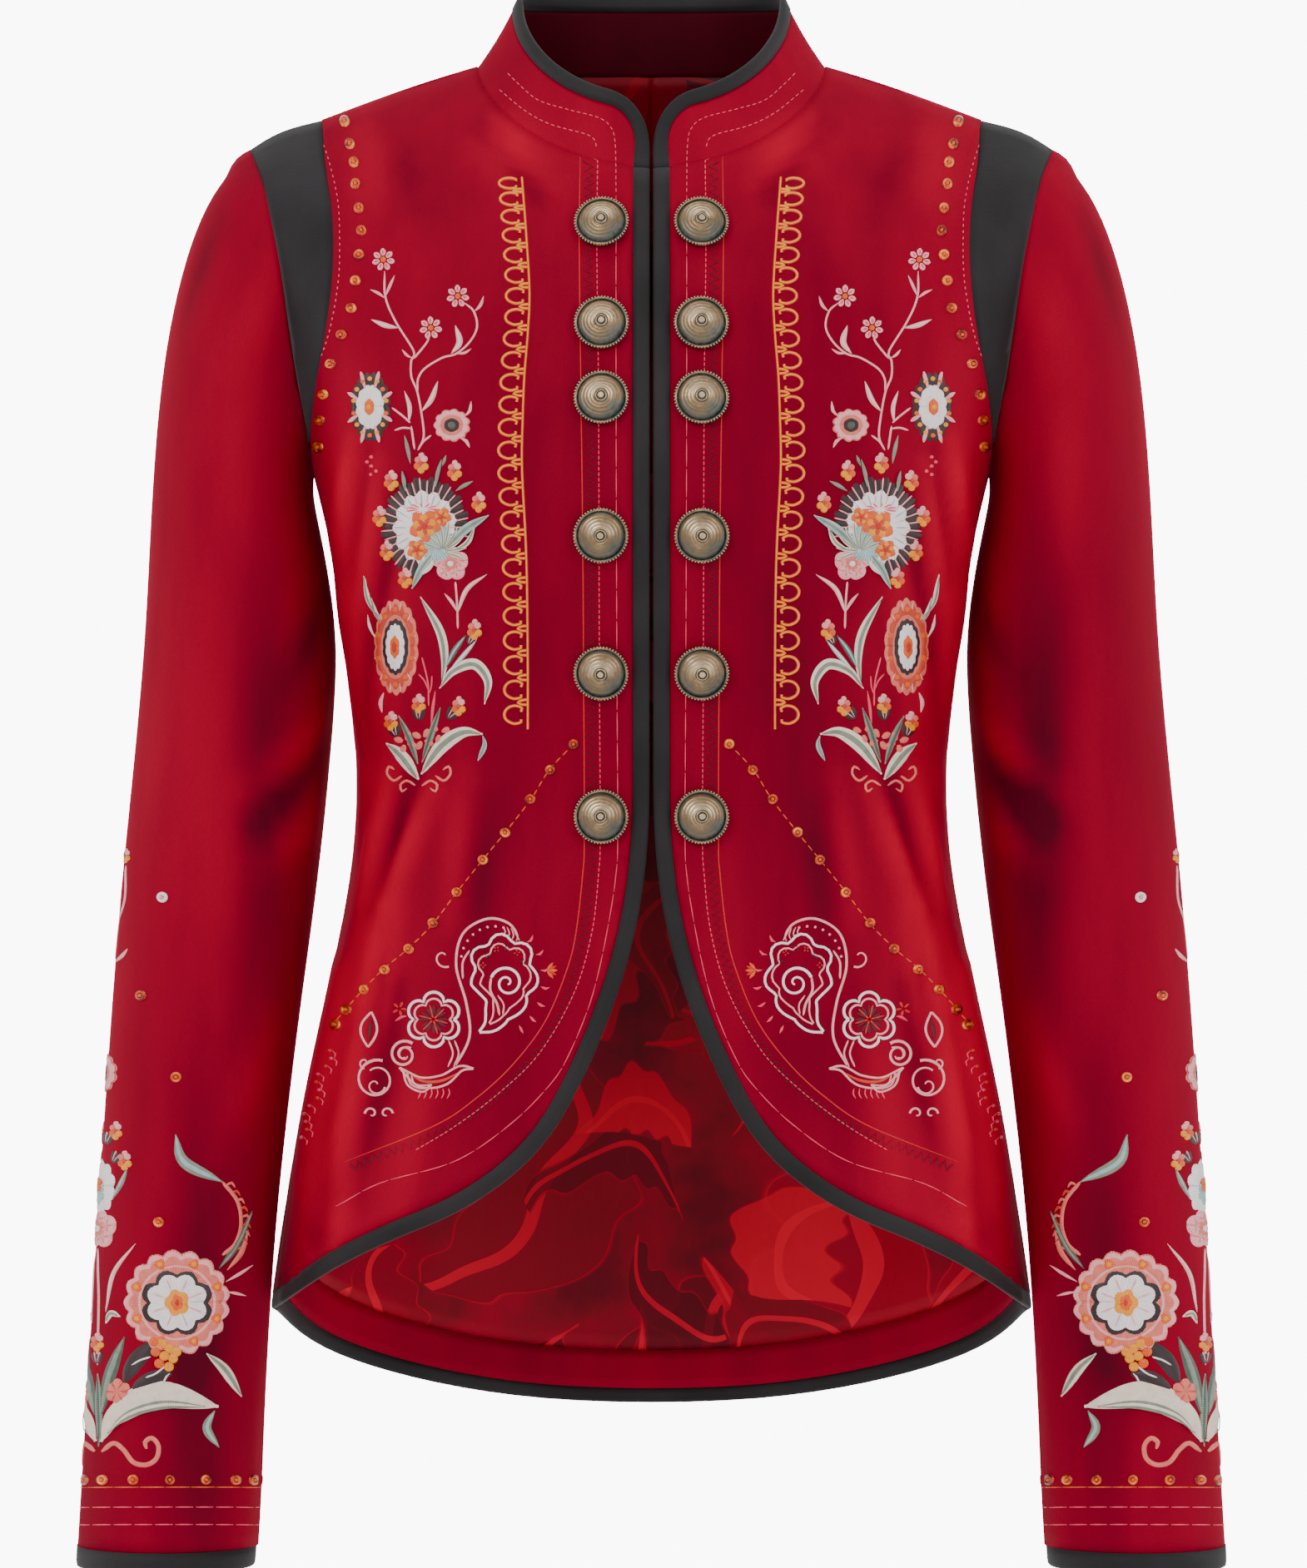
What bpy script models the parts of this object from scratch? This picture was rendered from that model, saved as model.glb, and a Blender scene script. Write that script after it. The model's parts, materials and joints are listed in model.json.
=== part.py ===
"""Embroidered velvet jacket, fitted and hip length, standing hollow in the shape that it is worn in.

Metres, +Z up. The wearer faces -Y and their left is +X. The origin lies between the shoulders,
level with the points where the neck seam crosses the shoulder seams, where the wearer carries it.

The body panels are cut from one dress form, a stack of closed rings from the tail to the neck seam.
A place on the form is a turn, in degrees from centre front round the wearer's left side, and a level,
in metres along the form from its lowest ring. Each panel is a patch of the form with a wall thickness.
"""

import math
from collections import namedtuple

import bmesh
import bpy
import numpy as np
from mathutils import Vector
from mathutils.bvhtree import BVHTree

MM = 0.001

# Cloth and seams
WALL = 2.0 * MM
SEAM_GAP = 0.3 * MM
LINING_WALL = 1.0 * MM
LINING_CLEARANCE = 0.4 * MM

# Binding round every open edge
BINDING_WIDTH = 7.5 * MM
BINDING_PROUD = 0.5 * MM
BINDING_ROUND = 0.9 * MM
CUFF_BINDING_WIDTH = 9.5 * MM

# Front opening, collar, hem and facing
FRONT_GAP = 1.5 * MM
COLLAR_CORNER = 23 * MM
COLLAR_HOLLOW = 1.5 * MM
FACING_WIDTH = 25 * MM
SIDE_HEM_Z = -559.5 * MM
TAIL_Z = -613.5 * MM
TAIL_BOWL = 0.745
TAIL_UPTURN_POWER = 14

# Buttons
BUTTON_OUT = 22 * MM
BUTTON_HEIGHTS = [-71, -116.5, -150, -210.5, -270.5, -334.5]
SHANK_RADIUS = 2.6 * MM
SHANK_LENGTH = 1.6 * MM

# How finely the walls are divided
HEM_ROWS = 13
ARMHOLE_ROWS = 9
SHOULDER_ROWS = 3
FRONT_COLUMNS = 11
BACK_COLUMNS = 20
SLEEVE_RINGS = 21
BACK_SLEEVE_SEAM = 3
COLLAR_ROWS = 3
CORNER_STEPS = 4

# How a ring dips from the side towards centre front and centre back
DIP_POWER = 1.3

# The form's girth for each degree of turn, for placing folds
GIRTH_PER_DEGREE = 2.3 * MM

# How much of its last stretch the armhole panel keeps before its blunt point
PANEL_POINT = 0.72

# The sleeve's rings take the armhole seam's shape at first, and lie closer together near it
SLEEVE_BLEND_RINGS = 6
SLEEVE_RING_POWER = 1.35

# The dress form. Sizes in millimetres: at the side, at centre front and at centre back.
Ring = namedtuple("Ring", "name side_x side_z front_y front_z back_y back_z square")
RINGS = [
    Ring("tail", 186, -640, 117, -640, 126, -640, 2.3),
    Ring("hip", 173.5, -560, 113, -560, 122, -560, 2.3),
    Ring("low_hip", 161.5, -480, 107, -480, 117, -480, 2.3),
    Ring("high_hip", 145, -400, 99, -400, 103, -400, 2.25),
    Ring("waist", 134, -325, 93, -325, 87, -325, 2.2),
    Ring("ribs", 138.5, -270, 103, -270, 92, -270, 2.25),
    Ring("bust", 145.5, -215, 115, -215, 101, -215, 2.3),
    Ring("underarm", 154, -180, 114, -185, 104, -174, 2.3),
    Ring("chest", 171, -115, 107, -151, 104, -134, 2.3),
    Ring("sleeve_head", 183.5, -31, 98, -118, 98, -90, 2.2),
    Ring("shoulder", 149, -17, 91, -92, 89, -55, 2.1),
    Ring("yoke", 112, -3, 82, -69, 77, -24, 2.05),
    Ring("neck", 80, 7, 72, -45, 62, 9, 2.0),
]

# The largest folds: a soft ridge from one place to another. Heights and sizes in millimetres.
Fold = namedtuple("Fold", "name turn_a z_a turn_b z_b width height")
FOLDS = [
    Fold("underarm_drape", 66, -178, 84, -236, 9, 2.6),
    Fold("ribs_drape", 58, -192, 74, -262, 10, 2.4),
    Fold("waist_diagonal", 46, -326, 60, -396, 10, 3.0),
    Fold("side_flare", 76, -330, 80, -520, 14, 3.0),
    Fold("front_flare", 36, -335, 38, -420, 12, 1.8),
    Fold("back_flare", 112, -350, 116, -540, 16, 3.0),
    Fold("tail_flare", 146, -380, 150, -560, 18, 3.0),
]

# Front edge from the neck seam down to the side, as seen from the front, in millimetres
EdgeRow = namedtuple("EdgeRow", "out height")
FRONT_EDGE = [
    EdgeRow(0.75, -45),
    EdgeRow(0.75, -150),
    EdgeRow(0.75, -250),
    EdgeRow(0.75, -335),
    EdgeRow(7, -386),
    EdgeRow(24, -437),
    EdgeRow(48, -480),
    EdgeRow(81, -507),
    EdgeRow(121, -525),
    EdgeRow(150, -541),
    EdgeRow(173.4, -559.5),
]
EDGE_CORNER_HEIGHT = -462

# Armhole seams as seen from the front, from the shoulder seam to the underarm, in millimetres.
# The body seam and the sleeve seam part above the row named join.
ArmholeRow = namedtuple("ArmholeRow", "name front_body_x back_body_x body_z sleeve_x sleeve_z")
ARMHOLE = [
    ArmholeRow("shoulder", 149, 149, -17, 183.5, -31),
    ArmholeRow("high", 144.5, 148, -47, 174, -54),
    ArmholeRow("hollow", 141.5, 146.5, -80, 168, -83),
    ArmholeRow("middle", 144, 147, -111, 163.5, -113),
    ArmholeRow("low", 150, 151, -139, 159.5, -140),
    ArmholeRow("join", 154.5, 154.5, -163, 154.5, -163),
    ArmholeRow("underarm", 154, 154, -180, 154, -180),
]
JOIN_ROW = 5

# Sleeve sections: the outer and inner points seen from the front, half the depth, and the middle's Y
SleeveRow = namedtuple("SleeveRow", "name outer_x outer_z inner_x inner_z half_depth middle_y")
SLEEVE = [
    SleeveRow("seam", 183.5, -31, 154, -180, 52, 0),
    SleeveRow("head", 190.5, -33, 154.3, -183, 53, 0),
    SleeveRow("cap", 200.5, -43, 154.3, -187, 54, 0),
    SleeveRow("cap_low", 209.5, -64, 153.8, -191, 55, 0),
    SleeveRow("upper", 217.5, -93, 152.8, -197, 55.5, 0),
    SleeveRow("biceps", 224, -131, 150.7, -207, 55.5, 0),
    SleeveRow("arm", 228.5, -186, 147.2, -226, 54.5, 0),
    SleeveRow("above_elbow", 231.5, -245, 143.6, -258, 53, 1),
    SleeveRow("elbow", 236, -298, 146, -302, 51, 2),
    SleeveRow("forearm_high", 242.5, -365, 152.5, -366, 48.5, -1),
    SleeveRow("forearm", 247.5, -435, 161.5, -435, 46, -7),
    SleeveRow("forearm_low", 252.5, -520, 170.5, -520, 43.5, -15),
    SleeveRow("wrist", 257.2, -605, 175.4, -605, 41.5, -22),
    SleeveRow("cuff", 261, -673.5, 178.8, -673.5, 40.5, -26.5),
]

# Collar top edge, in millimetres: at the side, at centre front before the corner is rounded, at the back
COLLAR_TOP = Ring("collar_top", 60.5, 41, 62, -11, 60, 46, 2.0)

# Button front, from its rim to its middle: radius and height above the back plate, in millimetres
ButtonRow = namedtuple("ButtonRow", "radius height")
BUTTON_PROFILE = [
    ButtonRow(12.0, 0.0),
    ButtonRow(12.0, 1.3),
    ButtonRow(10.6, 1.7),
    ButtonRow(6.5, 4.1),
    ButtonRow(2.4, 5.4),
    ButtonRow(1.7, 6.8),
]
BUTTON_SIDES = 14

# Colours as linear RGB, roughness and metallic
Finish = namedtuple("Finish", "color roughness metallic")
FINISHES = {
    "red_velvet": Finish((0.42, 0.001, 0.012), 0.75, 0.0),
    "black_cloth": Finish((0.035, 0.032, 0.033), 0.7, 0.0),
    "black_binding": Finish((0.028, 0.026, 0.026), 0.5, 0.0),
    "red_lining": Finish((0.30, 0.006, 0.012), 0.35, 0.0),
    "antique_brass": Finish((0.36, 0.28, 0.17), 0.35, 1.0),
}


def smooth(knots, values, at):
    """The value at a place on the smooth curve through the values at the knots."""
    at = min(max(at, knots[0]), knots[-1])
    k = min(int(np.searchsorted(knots, at, side="right")) - 1, len(knots) - 2)
    span = knots[k + 1] - knots[k]
    share = (at - knots[k]) / span

    def slope(i):
        low, high = max(i - 1, 0), min(i + 1, len(knots) - 1)
        return (values[high] - values[low]) / (knots[high] - knots[low])

    a, b = values[k], values[k + 1]
    return (
        a * (1 + 2 * share) * (1 - share) ** 2
        + b * share**2 * (3 - 2 * share)
        + span * slope(k) * share * (1 - share) ** 2
        - span * slope(k + 1) * share**2 * (1 - share)
    )


def ring_levels():
    """Each ring's level: the length along the form from its lowest ring, between its side and its front."""
    levels = [0.0]
    for low, high in zip(RINGS, RINGS[1:]):
        side = math.hypot(high.side_x - low.side_x, high.side_z - low.side_z)
        front = math.hypot(high.front_y - low.front_y, high.front_z - low.front_z)
        levels.append(levels[-1] + MM * (side + front) / 2)
    return levels


LEVELS = ring_levels()
RING_COLUMNS = {
    field: [getattr(ring, field) * (1 if field == "square" else MM) for ring in RINGS]
    for field in Ring._fields[1:]
}
NECK_LEVEL = LEVELS[-1]


def ring_value(field, level):
    return smooth(LEVELS, RING_COLUMNS[field], level)


def level_where(field, value):
    """The level at which a ring size that grows upwards reaches the value."""
    low, high = LEVELS[0], LEVELS[-1]
    for _ in range(40):
        middle = (low + high) / 2
        if ring_value(field, middle) < value:
            low = middle
        else:
            high = middle
    return (low + high) / 2


def fold_height(turn, z):
    """How far the folds push the cloth out at a place on the form."""
    total = 0.0
    for fold in FOLDS:
        a = Vector((fold.turn_a * GIRTH_PER_DEGREE, fold.z_a * MM))
        b = Vector((fold.turn_b * GIRTH_PER_DEGREE, fold.z_b * MM))
        here = Vector((abs(turn) * GIRTH_PER_DEGREE, z))
        along = (here - a).dot(b - a) / (b - a).length_squared
        away = (here - a - (b - a) * min(max(along, 0.0), 1.0)).length
        total += fold.height * MM * math.exp(-((away / (fold.width * MM)) ** 2))
    return total


def form_point(turn, level):
    """The form's outer surface at a turn and a level."""
    c, s = math.cos(math.radians(turn)), math.sin(math.radians(turn))
    power = 2 / ring_value("square", level)
    end = "front" if c >= 0 else "back"
    side_z = ring_value("side_z", level)
    x = math.copysign(ring_value("side_x", level) * abs(s) ** power, s)
    y = math.copysign(ring_value(end + "_y", level) * abs(c) ** power, -c)
    z = side_z + (ring_value(end + "_z", level) - side_z) * abs(c) ** DIP_POWER
    out = Vector((x, y, 0))
    return Vector((x, y, z)) + out.normalized() * fold_height(turn, z)


def form_normal(turn, level):
    """The outward direction of the form at a turn and a level."""
    round_step, up_step = 0.6, 1.5 * MM
    low, high = max(level - up_step, LEVELS[0]), min(level + up_step, NECK_LEVEL)
    round_it = form_point(turn + round_step, level) - form_point(turn - round_step, level)
    up_it = form_point(turn, high) - form_point(turn, low)
    return round_it.cross(up_it).normalized()


def turn_at(x, level):
    """The turn in front of the side seam at which the form is x wide."""
    share = min(x / ring_value("side_x", level), 1.0)
    return math.degrees(math.asin(share ** (ring_value("square", level) / 2)))


def place_seen_at(x, z, turn):
    """The turn and level of the form seen at x, z from the front, near a first guess of the turn."""
    level = level_where("side_z", z - 15 * MM)
    for _ in range(40):
        here = form_point(turn, level)
        by_turn = (form_point(turn + 0.05, level) - here) / 0.05
        by_level = (form_point(turn, level + 0.1 * MM) - here) / (0.1 * MM)
        step = np.linalg.lstsq(
            np.array([[by_turn.x, by_level.x], [by_turn.z, by_level.z]]),
            np.array([x - here.x, z - here.z]),
            rcond=None,
        )[0]
        turn += max(min(step[0], 4.0), -4.0)
        level += max(min(step[1], 8 * MM), -8 * MM)
    return turn, level


def front_edge_place(at):
    """The front edge's turn and level at a distance along it, seen from the front, from the neck seam."""
    out = max(smooth(EDGE_LENGTHS, [row.out for row in FRONT_EDGE], at), FRONT_GAP / 2 / MM)
    height = smooth(EDGE_LENGTHS, [row.height for row in FRONT_EDGE], at)
    level = level_where("front_z", height * MM)
    return turn_at(out * MM, level), level


def distance_down_edge(level):
    """The distance along the front edge at which it reaches a level."""
    low, high = 0.0, EDGE_LENGTHS[-1]
    for _ in range(30):
        middle = (low + high) / 2
        if front_edge_place(middle)[1] > level:
            low = middle
        else:
            high = middle
    return (low + high) / 2


def back_hem_places():
    """The back hem as turns and levels, from the left side seam to the right one.

    It is a shallow bowl round the tail, with a short upturn to each side seam.
    """
    places = []
    for j in range(BACK_COLUMNS + 1):
        turn = 90 + 180 * j / BACK_COLUMNS
        share = abs(math.sin(math.radians(turn)))
        rise = TAIL_BOWL * share**2 + (1 - TAIL_BOWL) * share**TAIL_UPTURN_POWER
        places.append((turn, level_where("back_z", TAIL_Z + (SIDE_HEM_Z - TAIL_Z) * rise)))
    return places


def drawn_in(places, width, ends_on_seam):
    """Places on the form, moved off the edge into the cloth by a width.

    An end that lies on a side seam moves along the seam.
    """
    points = [form_point(*place) for place in places]
    moved_places = []
    for i, ((turn, level), point) in enumerate(zip(places, points)):
        tangent = points[min(i + 1, len(points) - 1)] - points[max(i - 1, 0)]
        inward = form_normal(turn, level).cross(tangent).normalized()
        if (i == 0 and ends_on_seam[0]) or (i == len(places) - 1 and ends_on_seam[1]):
            up_seam = (form_point(turn, level + MM) - point) / MM
            moved_places.append((turn, level + width / up_seam.dot(inward)))
            continue
        target = point + inward * width
        new_level = level_where("front_z" if turn <= 90 else "back_z", target.z)
        new_turn = turn_at(abs(target.x), new_level)
        if turn > 180:
            new_turn = 180 + new_turn
        elif turn > 90:
            new_turn = 180 - new_turn
        moved_places.append((new_turn, new_level))
    return moved_places


def patch(bottom, top, left, right):
    """A grid of places between four lines of places."""
    rows, columns = len(left) - 1, len(bottom) - 1
    grid = []
    for i in range(rows + 1):
        v = i / rows
        line = []
        for j in range(columns + 1):
            u = j / columns
            line.append(tuple(
                (1 - v) * bottom[j][k]
                + v * top[j][k]
                + (1 - u) * left[i][k]
                + u * right[i][k]
                - (1 - u) * ((1 - v) * bottom[0][k] + v * top[0][k])
                - u * ((1 - v) * bottom[-1][k] + v * top[-1][k])
                for k in (0, 1)
            ))
        grid.append(line)
    return grid


def between(a, b, steps):
    """Evenly spaced places from one place to another, both included."""
    return [tuple(p + (q - p) * i / steps for p, q in zip(a, b)) for i in range(steps + 1)]


EDGE_LENGTHS = [0.0]
for upper, lower in zip(FRONT_EDGE, FRONT_EDGE[1:]):
    EDGE_LENGTHS.append(EDGE_LENGTHS[-1] + math.hypot(lower.out - upper.out, lower.height - upper.height))


def armhole_places(kind, side):
    """One armhole seam as turns and levels from the shoulder seam to the underarm, front or back."""
    first_guess = 62 if side == "front" else 118
    x_field = "sleeve_x" if kind == "sleeve" else f"{side}_body_x"
    z_field = "sleeve_z" if kind == "sleeve" else "body_z"
    rows = list(range(len(ARMHOLE)))
    places = []
    for i in range(ARMHOLE_ROWS + 1):
        at = (len(ARMHOLE) - 1) * i / ARMHOLE_ROWS
        x = smooth(rows, [getattr(row, x_field) * MM for row in ARMHOLE], at)
        z = smooth(rows, [getattr(row, z_field) * MM for row in ARMHOLE], at)
        if i in (0, ARMHOLE_ROWS):
            places.append((90.0, level_where("side_z", z)))
        else:
            places.append(place_seen_at(x, z, first_guess))
    return places


BODY_SEAM = {side: armhole_places("body", side) for side in ("front", "back")}
SLEEVE_SEAM = {side: armhole_places("sleeve", side) for side in ("front", "back")}
JOIN_SAMPLE = math.ceil(JOIN_ROW * ARMHOLE_ROWS / (len(ARMHOLE) - 1))
for seam_side in ("front", "back"):
    SLEEVE_SEAM[seam_side][JOIN_SAMPLE:] = BODY_SEAM[seam_side][JOIN_SAMPLE:]


UNDERARM_LEVEL = BODY_SEAM["front"][-1][1]
SHOULDER_LEVEL = BODY_SEAM["front"][0][1]
SHOULDER_LEVELS = [
    SHOULDER_LEVEL + (NECK_LEVEL - SHOULDER_LEVEL) * i / SHOULDER_ROWS for i in range(1, SHOULDER_ROWS + 1)
]


def front_edge():
    """The front edge, split where it turns into the hem: upwards to the neck seam, and round to the side."""
    corner_level = level_where("front_z", EDGE_CORNER_HEIGHT * MM)
    corner = distance_down_edge(corner_level)
    step = (EDGE_LENGTHS[-1] - corner) / FRONT_COLUMNS
    hem = [front_edge_place(corner + step * j) for j in range(FRONT_COLUMNS)]
    hem.append((90.0, level_where("side_z", SIDE_HEM_Z)))
    levels = [corner_level + (UNDERARM_LEVEL - corner_level) * i / HEM_ROWS for i in range(HEM_ROWS)]
    levels += [level for _, level in reversed(BODY_SEAM["front"])] + SHOULDER_LEVELS
    upwards = [front_edge_place(distance_down_edge(level)) for level in levels]
    return upwards, hem


def front_edge_and_cut():
    """The front edge from the neck seam to the side seam, and the line that its binding reaches to."""
    upwards, hem = front_edge()
    edge = list(reversed(upwards)) + hem[1:]
    return edge, drawn_in(edge, BINDING_WIDTH, (False, True))


def front_places():
    """The front panel as rows of turns and levels, from the hem to the neck seam."""
    edge, cut = front_edge_and_cut()
    corner = len(edge) - 1 - FRONT_COLUMNS
    upwards, hem = list(reversed(cut[: corner + 1])), cut[corner:]
    underarm_row = between(upwards[HEM_ROWS], (90.0, UNDERARM_LEVEL), FRONT_COLUMNS)
    side_seam = between(hem[-1], underarm_row[-1], HEM_ROWS)
    rows = patch(hem, underarm_row, upwards[: HEM_ROWS + 1], side_seam)
    ends = list(reversed(BODY_SEAM["front"]))[1:] + [(90.0, level) for level in SHOULDER_LEVELS]
    for left, right in zip(upwards[HEM_ROWS + 1:], ends):
        rows.append(between(left, right, FRONT_COLUMNS))
    return rows


def back_places():
    """The back panel as rows of turns and levels, from the hem to the neck seam.

    The second row is the top of the hem facing.
    """
    edge = back_hem_places()
    cut = drawn_in(edge, BINDING_WIDTH, (True, True))
    facing = drawn_in(edge, FACING_WIDTH, (True, True))
    underarm_row = between((90.0, UNDERARM_LEVEL), (270.0, UNDERARM_LEVEL), BACK_COLUMNS)
    sides = [between(facing[end], underarm_row[end], HEM_ROWS - 1) for end in (0, -1)]
    rows = [cut] + patch(facing, underarm_row, *sides)
    ends = list(reversed(BODY_SEAM["back"]))[1:] + [(90.0, level) for level in SHOULDER_LEVELS]
    for turn, level in ends:
        rows.append(between((turn, level), (360 - turn, level), BACK_COLUMNS))
    return rows


def on_form(places):
    """The points and outward directions of a grid of places."""
    points = [[form_point(*place) for place in row] for row in places]
    normals = [[form_normal(*place) for place in row] for row in places]
    return points, normals


def own_normals(points, closed):
    """The outward directions of a grid whose rows run upwards or outwards and columns turn anticlockwise."""
    last_row, count = len(points) - 1, len(points[0])
    normals = []
    for i, row in enumerate(points):
        line = []
        for j in range(count):
            before, after = (j - 1, (j + 1) % count) if closed else (max(j - 1, 0), min(j + 1, count - 1))
            round_it = row[after] - row[before]
            up_it = points[min(i + 1, last_row)][j] - points[max(i - 1, 0)][j]
            line.append(round_it.cross(up_it).normalized())
        normals.append(line)
    return normals


def shrunk(points, gap):
    """The grid with each side moved in by half of a seam's gap."""
    out = [[p.copy() for p in row] for row in points]
    last_row, last = len(points) - 1, len(points[0]) - 1
    for i, row in enumerate(points):
        for j, p in enumerate(row):
            if i in (0, last_row):
                beside = points[1 if i == 0 else last_row - 1][j]
                out[i][j] += (beside - p).normalized() * gap / 2
            if j in (0, last):
                beside = row[1 if j == 0 else last - 1]
                out[i][j] += (beside - p).normalized() * gap / 2
    return out


def moved(points, normals, distance):
    """The grid moved along its outward directions."""
    return [[p + n * distance for p, n in zip(*pair)] for pair in zip(points, normals)]


def finish(name):
    """The material of that finish."""
    found = bpy.data.materials.get(name)
    if found:
        return found
    values = FINISHES[name]
    material = bpy.data.materials.new(name)
    material.use_nodes = True
    shader = material.node_tree.nodes["Principled BSDF"]
    shader.inputs["Base Color"].default_value = (*values.color, 1)
    shader.inputs["Roughness"].default_value = values.roughness
    shader.inputs["Metallic"].default_value = values.metallic
    return material


def solid(name, points, faces, finish_name):
    """One named object from points and faces, with its faces pointing out."""
    mesh = bpy.data.meshes.new(name)
    mesh.from_pydata([tuple(p) for p in points], [], faces)
    shape = bmesh.new()
    shape.from_mesh(mesh)
    bmesh.ops.triangulate(shape, faces=shape.faces, quad_method="SHORT_EDGE")
    bmesh.ops.recalc_face_normals(shape, faces=shape.faces)
    if shape.calc_volume(signed=True) < 0:
        bmesh.ops.reverse_faces(shape, faces=shape.faces)
    shape.to_mesh(mesh)
    shape.free()
    mesh.shade_smooth()
    mesh.set_sharp_from_angle(angle=math.radians(40))
    mesh.materials.append(finish(finish_name))
    made = bpy.data.objects.new(name, mesh)
    bpy.context.scene.collection.objects.link(made)
    return made


def wall(name, outer, inner, finish_name, mirrored=False):
    """A cloth wall between two grids of points."""
    rows, count = len(outer), len(outer[0])
    points = [p for row in outer for p in row] + [p for row in inner for p in row]
    if mirrored:
        points = [Vector((-p.x, p.y, p.z)) for p in points]
    behind = rows * count
    faces = []
    for i in range(rows - 1):
        for j in range(count - 1):
            a, b = i * count + j, i * count + j + 1
            c, d = b + count, a + count
            faces.append((a, b, c, d))
            faces.append((behind + d, behind + c, behind + b, behind + a))
    for i in (0, rows - 1):
        for j in range(count - 1):
            a, b = i * count + j, i * count + j + 1
            faces.append((a, behind + a, behind + b, b))
    for j in (0, count - 1):
        for i in range(rows - 1):
            a, d = i * count + j, (i + 1) * count + j
            faces.append((a, d, behind + d, behind + a))
    return solid(name, points, faces, finish_name)


def both_sides(make):
    """Makes a piece for the wearer's left, and its mirror image for the right."""
    for side, mirrored in (("left", False), ("right", True)):
        make(side, mirrored)


def make_fronts():
    points, normals = on_form(front_places())
    outer = shrunk(points, SEAM_GAP)
    inner = moved(outer, normals, -WALL)
    both_sides(lambda side, mirrored: wall(f"front_{side}", outer, inner, "red_velvet", mirrored=mirrored))


def make_backs():
    """The back, in halves that meet at the centre back seam."""
    left_half = [row[: BACK_COLUMNS // 2 + 1] for row in back_places()]
    points, normals = on_form(left_half)
    outer = shrunk(points, SEAM_GAP)
    inner = moved(outer, normals, -WALL)
    both_sides(lambda side, mirrored: wall(f"back_{side}", outer, inner, "red_velvet", mirrored=mirrored))


def make_back_facing_and_lining():
    """The velvet hem facing inside the back, and the lining above it, made from the back's own points."""
    points, normals = on_form(back_places())
    inside = slice(1, -1)
    layers = (
        ("back_facing", slice(0, 2), "red_velvet"),
        ("back_lining", slice(1, HEM_ROWS + 1), "red_lining"),
    )
    for name, rows, finish_name in layers:
        cloth = [row[inside] for row in points[rows]]
        out = [row[inside] for row in normals[rows]]
        outer = moved(shrunk(cloth, SEAM_GAP), out, -WALL - LINING_CLEARANCE)
        wall(name, outer, moved(outer, out, -LINING_WALL), finish_name)


def armhole_line(share):
    """A line over the shoulder on the armhole panel, from back to front: share 0 is its sleeve side."""
    points, normals = [], []
    for side in ("back", "front"):
        places = []
        for sleeve, body in zip(SLEEVE_SEAM[side][: JOIN_SAMPLE + 1], BODY_SEAM[side]):
            places.append(tuple(a * (1 - share) + b * share for a, b in zip(sleeve, body)))
        line = [form_point(*place) for place in places]
        line[-1] = line[-2].lerp(line[-1], PANEL_POINT)
        out = [form_normal(*place) for place in places]
        if side == "back":
            points, normals = list(reversed(line)), list(reversed(out))
        else:
            points, normals = points + line[1:], normals + out[1:]
    return points, normals


def make_armhole_panels():
    """The black panels between body and sleeve, over each shoulder, narrowing towards the underarm."""
    lines = [armhole_line(share) for share in (0.0, 0.5, 1.0)]
    outer = shrunk([points for points, _ in lines], SEAM_GAP)
    inner = moved(outer, [normals for _, normals in lines], -WALL)
    both_sides(
        lambda side, mirrored: wall(f"armhole_panel_{side}", outer, inner, "black_cloth", mirrored=mirrored)
    )


def sleeve_rings():
    """The sleeve's rings from the armhole seam to the cuff, each from the outside round by the back."""
    seam = [form_point(*place) for place in SLEEVE_SEAM["back"]]
    seam += [form_point(*place) for place in reversed(SLEEVE_SEAM["front"])][1:-1]
    rows = list(range(len(SLEEVE)))
    reach = [0.0]
    for a, b in zip(SLEEVE, SLEEVE[1:]):
        outside = math.hypot(b.outer_x - a.outer_x, b.outer_z - a.outer_z)
        inside = math.hypot(b.inner_x - a.inner_x, b.inner_z - a.inner_z)
        reach.append(reach[-1] + (outside + inside) / 2)

    def section(at):
        value = {
            field: MM * smooth(reach, [getattr(SLEEVE[r], field) for r in rows], at)
            for field in SleeveRow._fields[1:]
        }
        outside = Vector((value["outer_x"], value["middle_y"], value["outer_z"]))
        inside = Vector((value["inner_x"], value["middle_y"], value["inner_z"]))
        depth = Vector((0, value["half_depth"], 0))
        count = len(seam)
        ring = []
        for k in range(count):
            angle = 2 * math.pi * k / count
            across = (outside - inside) * math.cos(angle) / 2
            ring.append((outside + inside) / 2 + across + depth * math.sin(angle))
        return ring

    first = section(0)
    rings = []
    for i in range(SLEEVE_RINGS + 1):
        at = reach[-1] * (i / SLEEVE_RINGS) ** SLEEVE_RING_POWER
        fade = max(0.0, 1 - i / SLEEVE_BLEND_RINGS) ** 2
        ring = [p + (s - f) * fade for p, s, f in zip(section(at), seam, first)]
        rings.append(seam if i == 0 else ring)
    return rings


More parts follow.
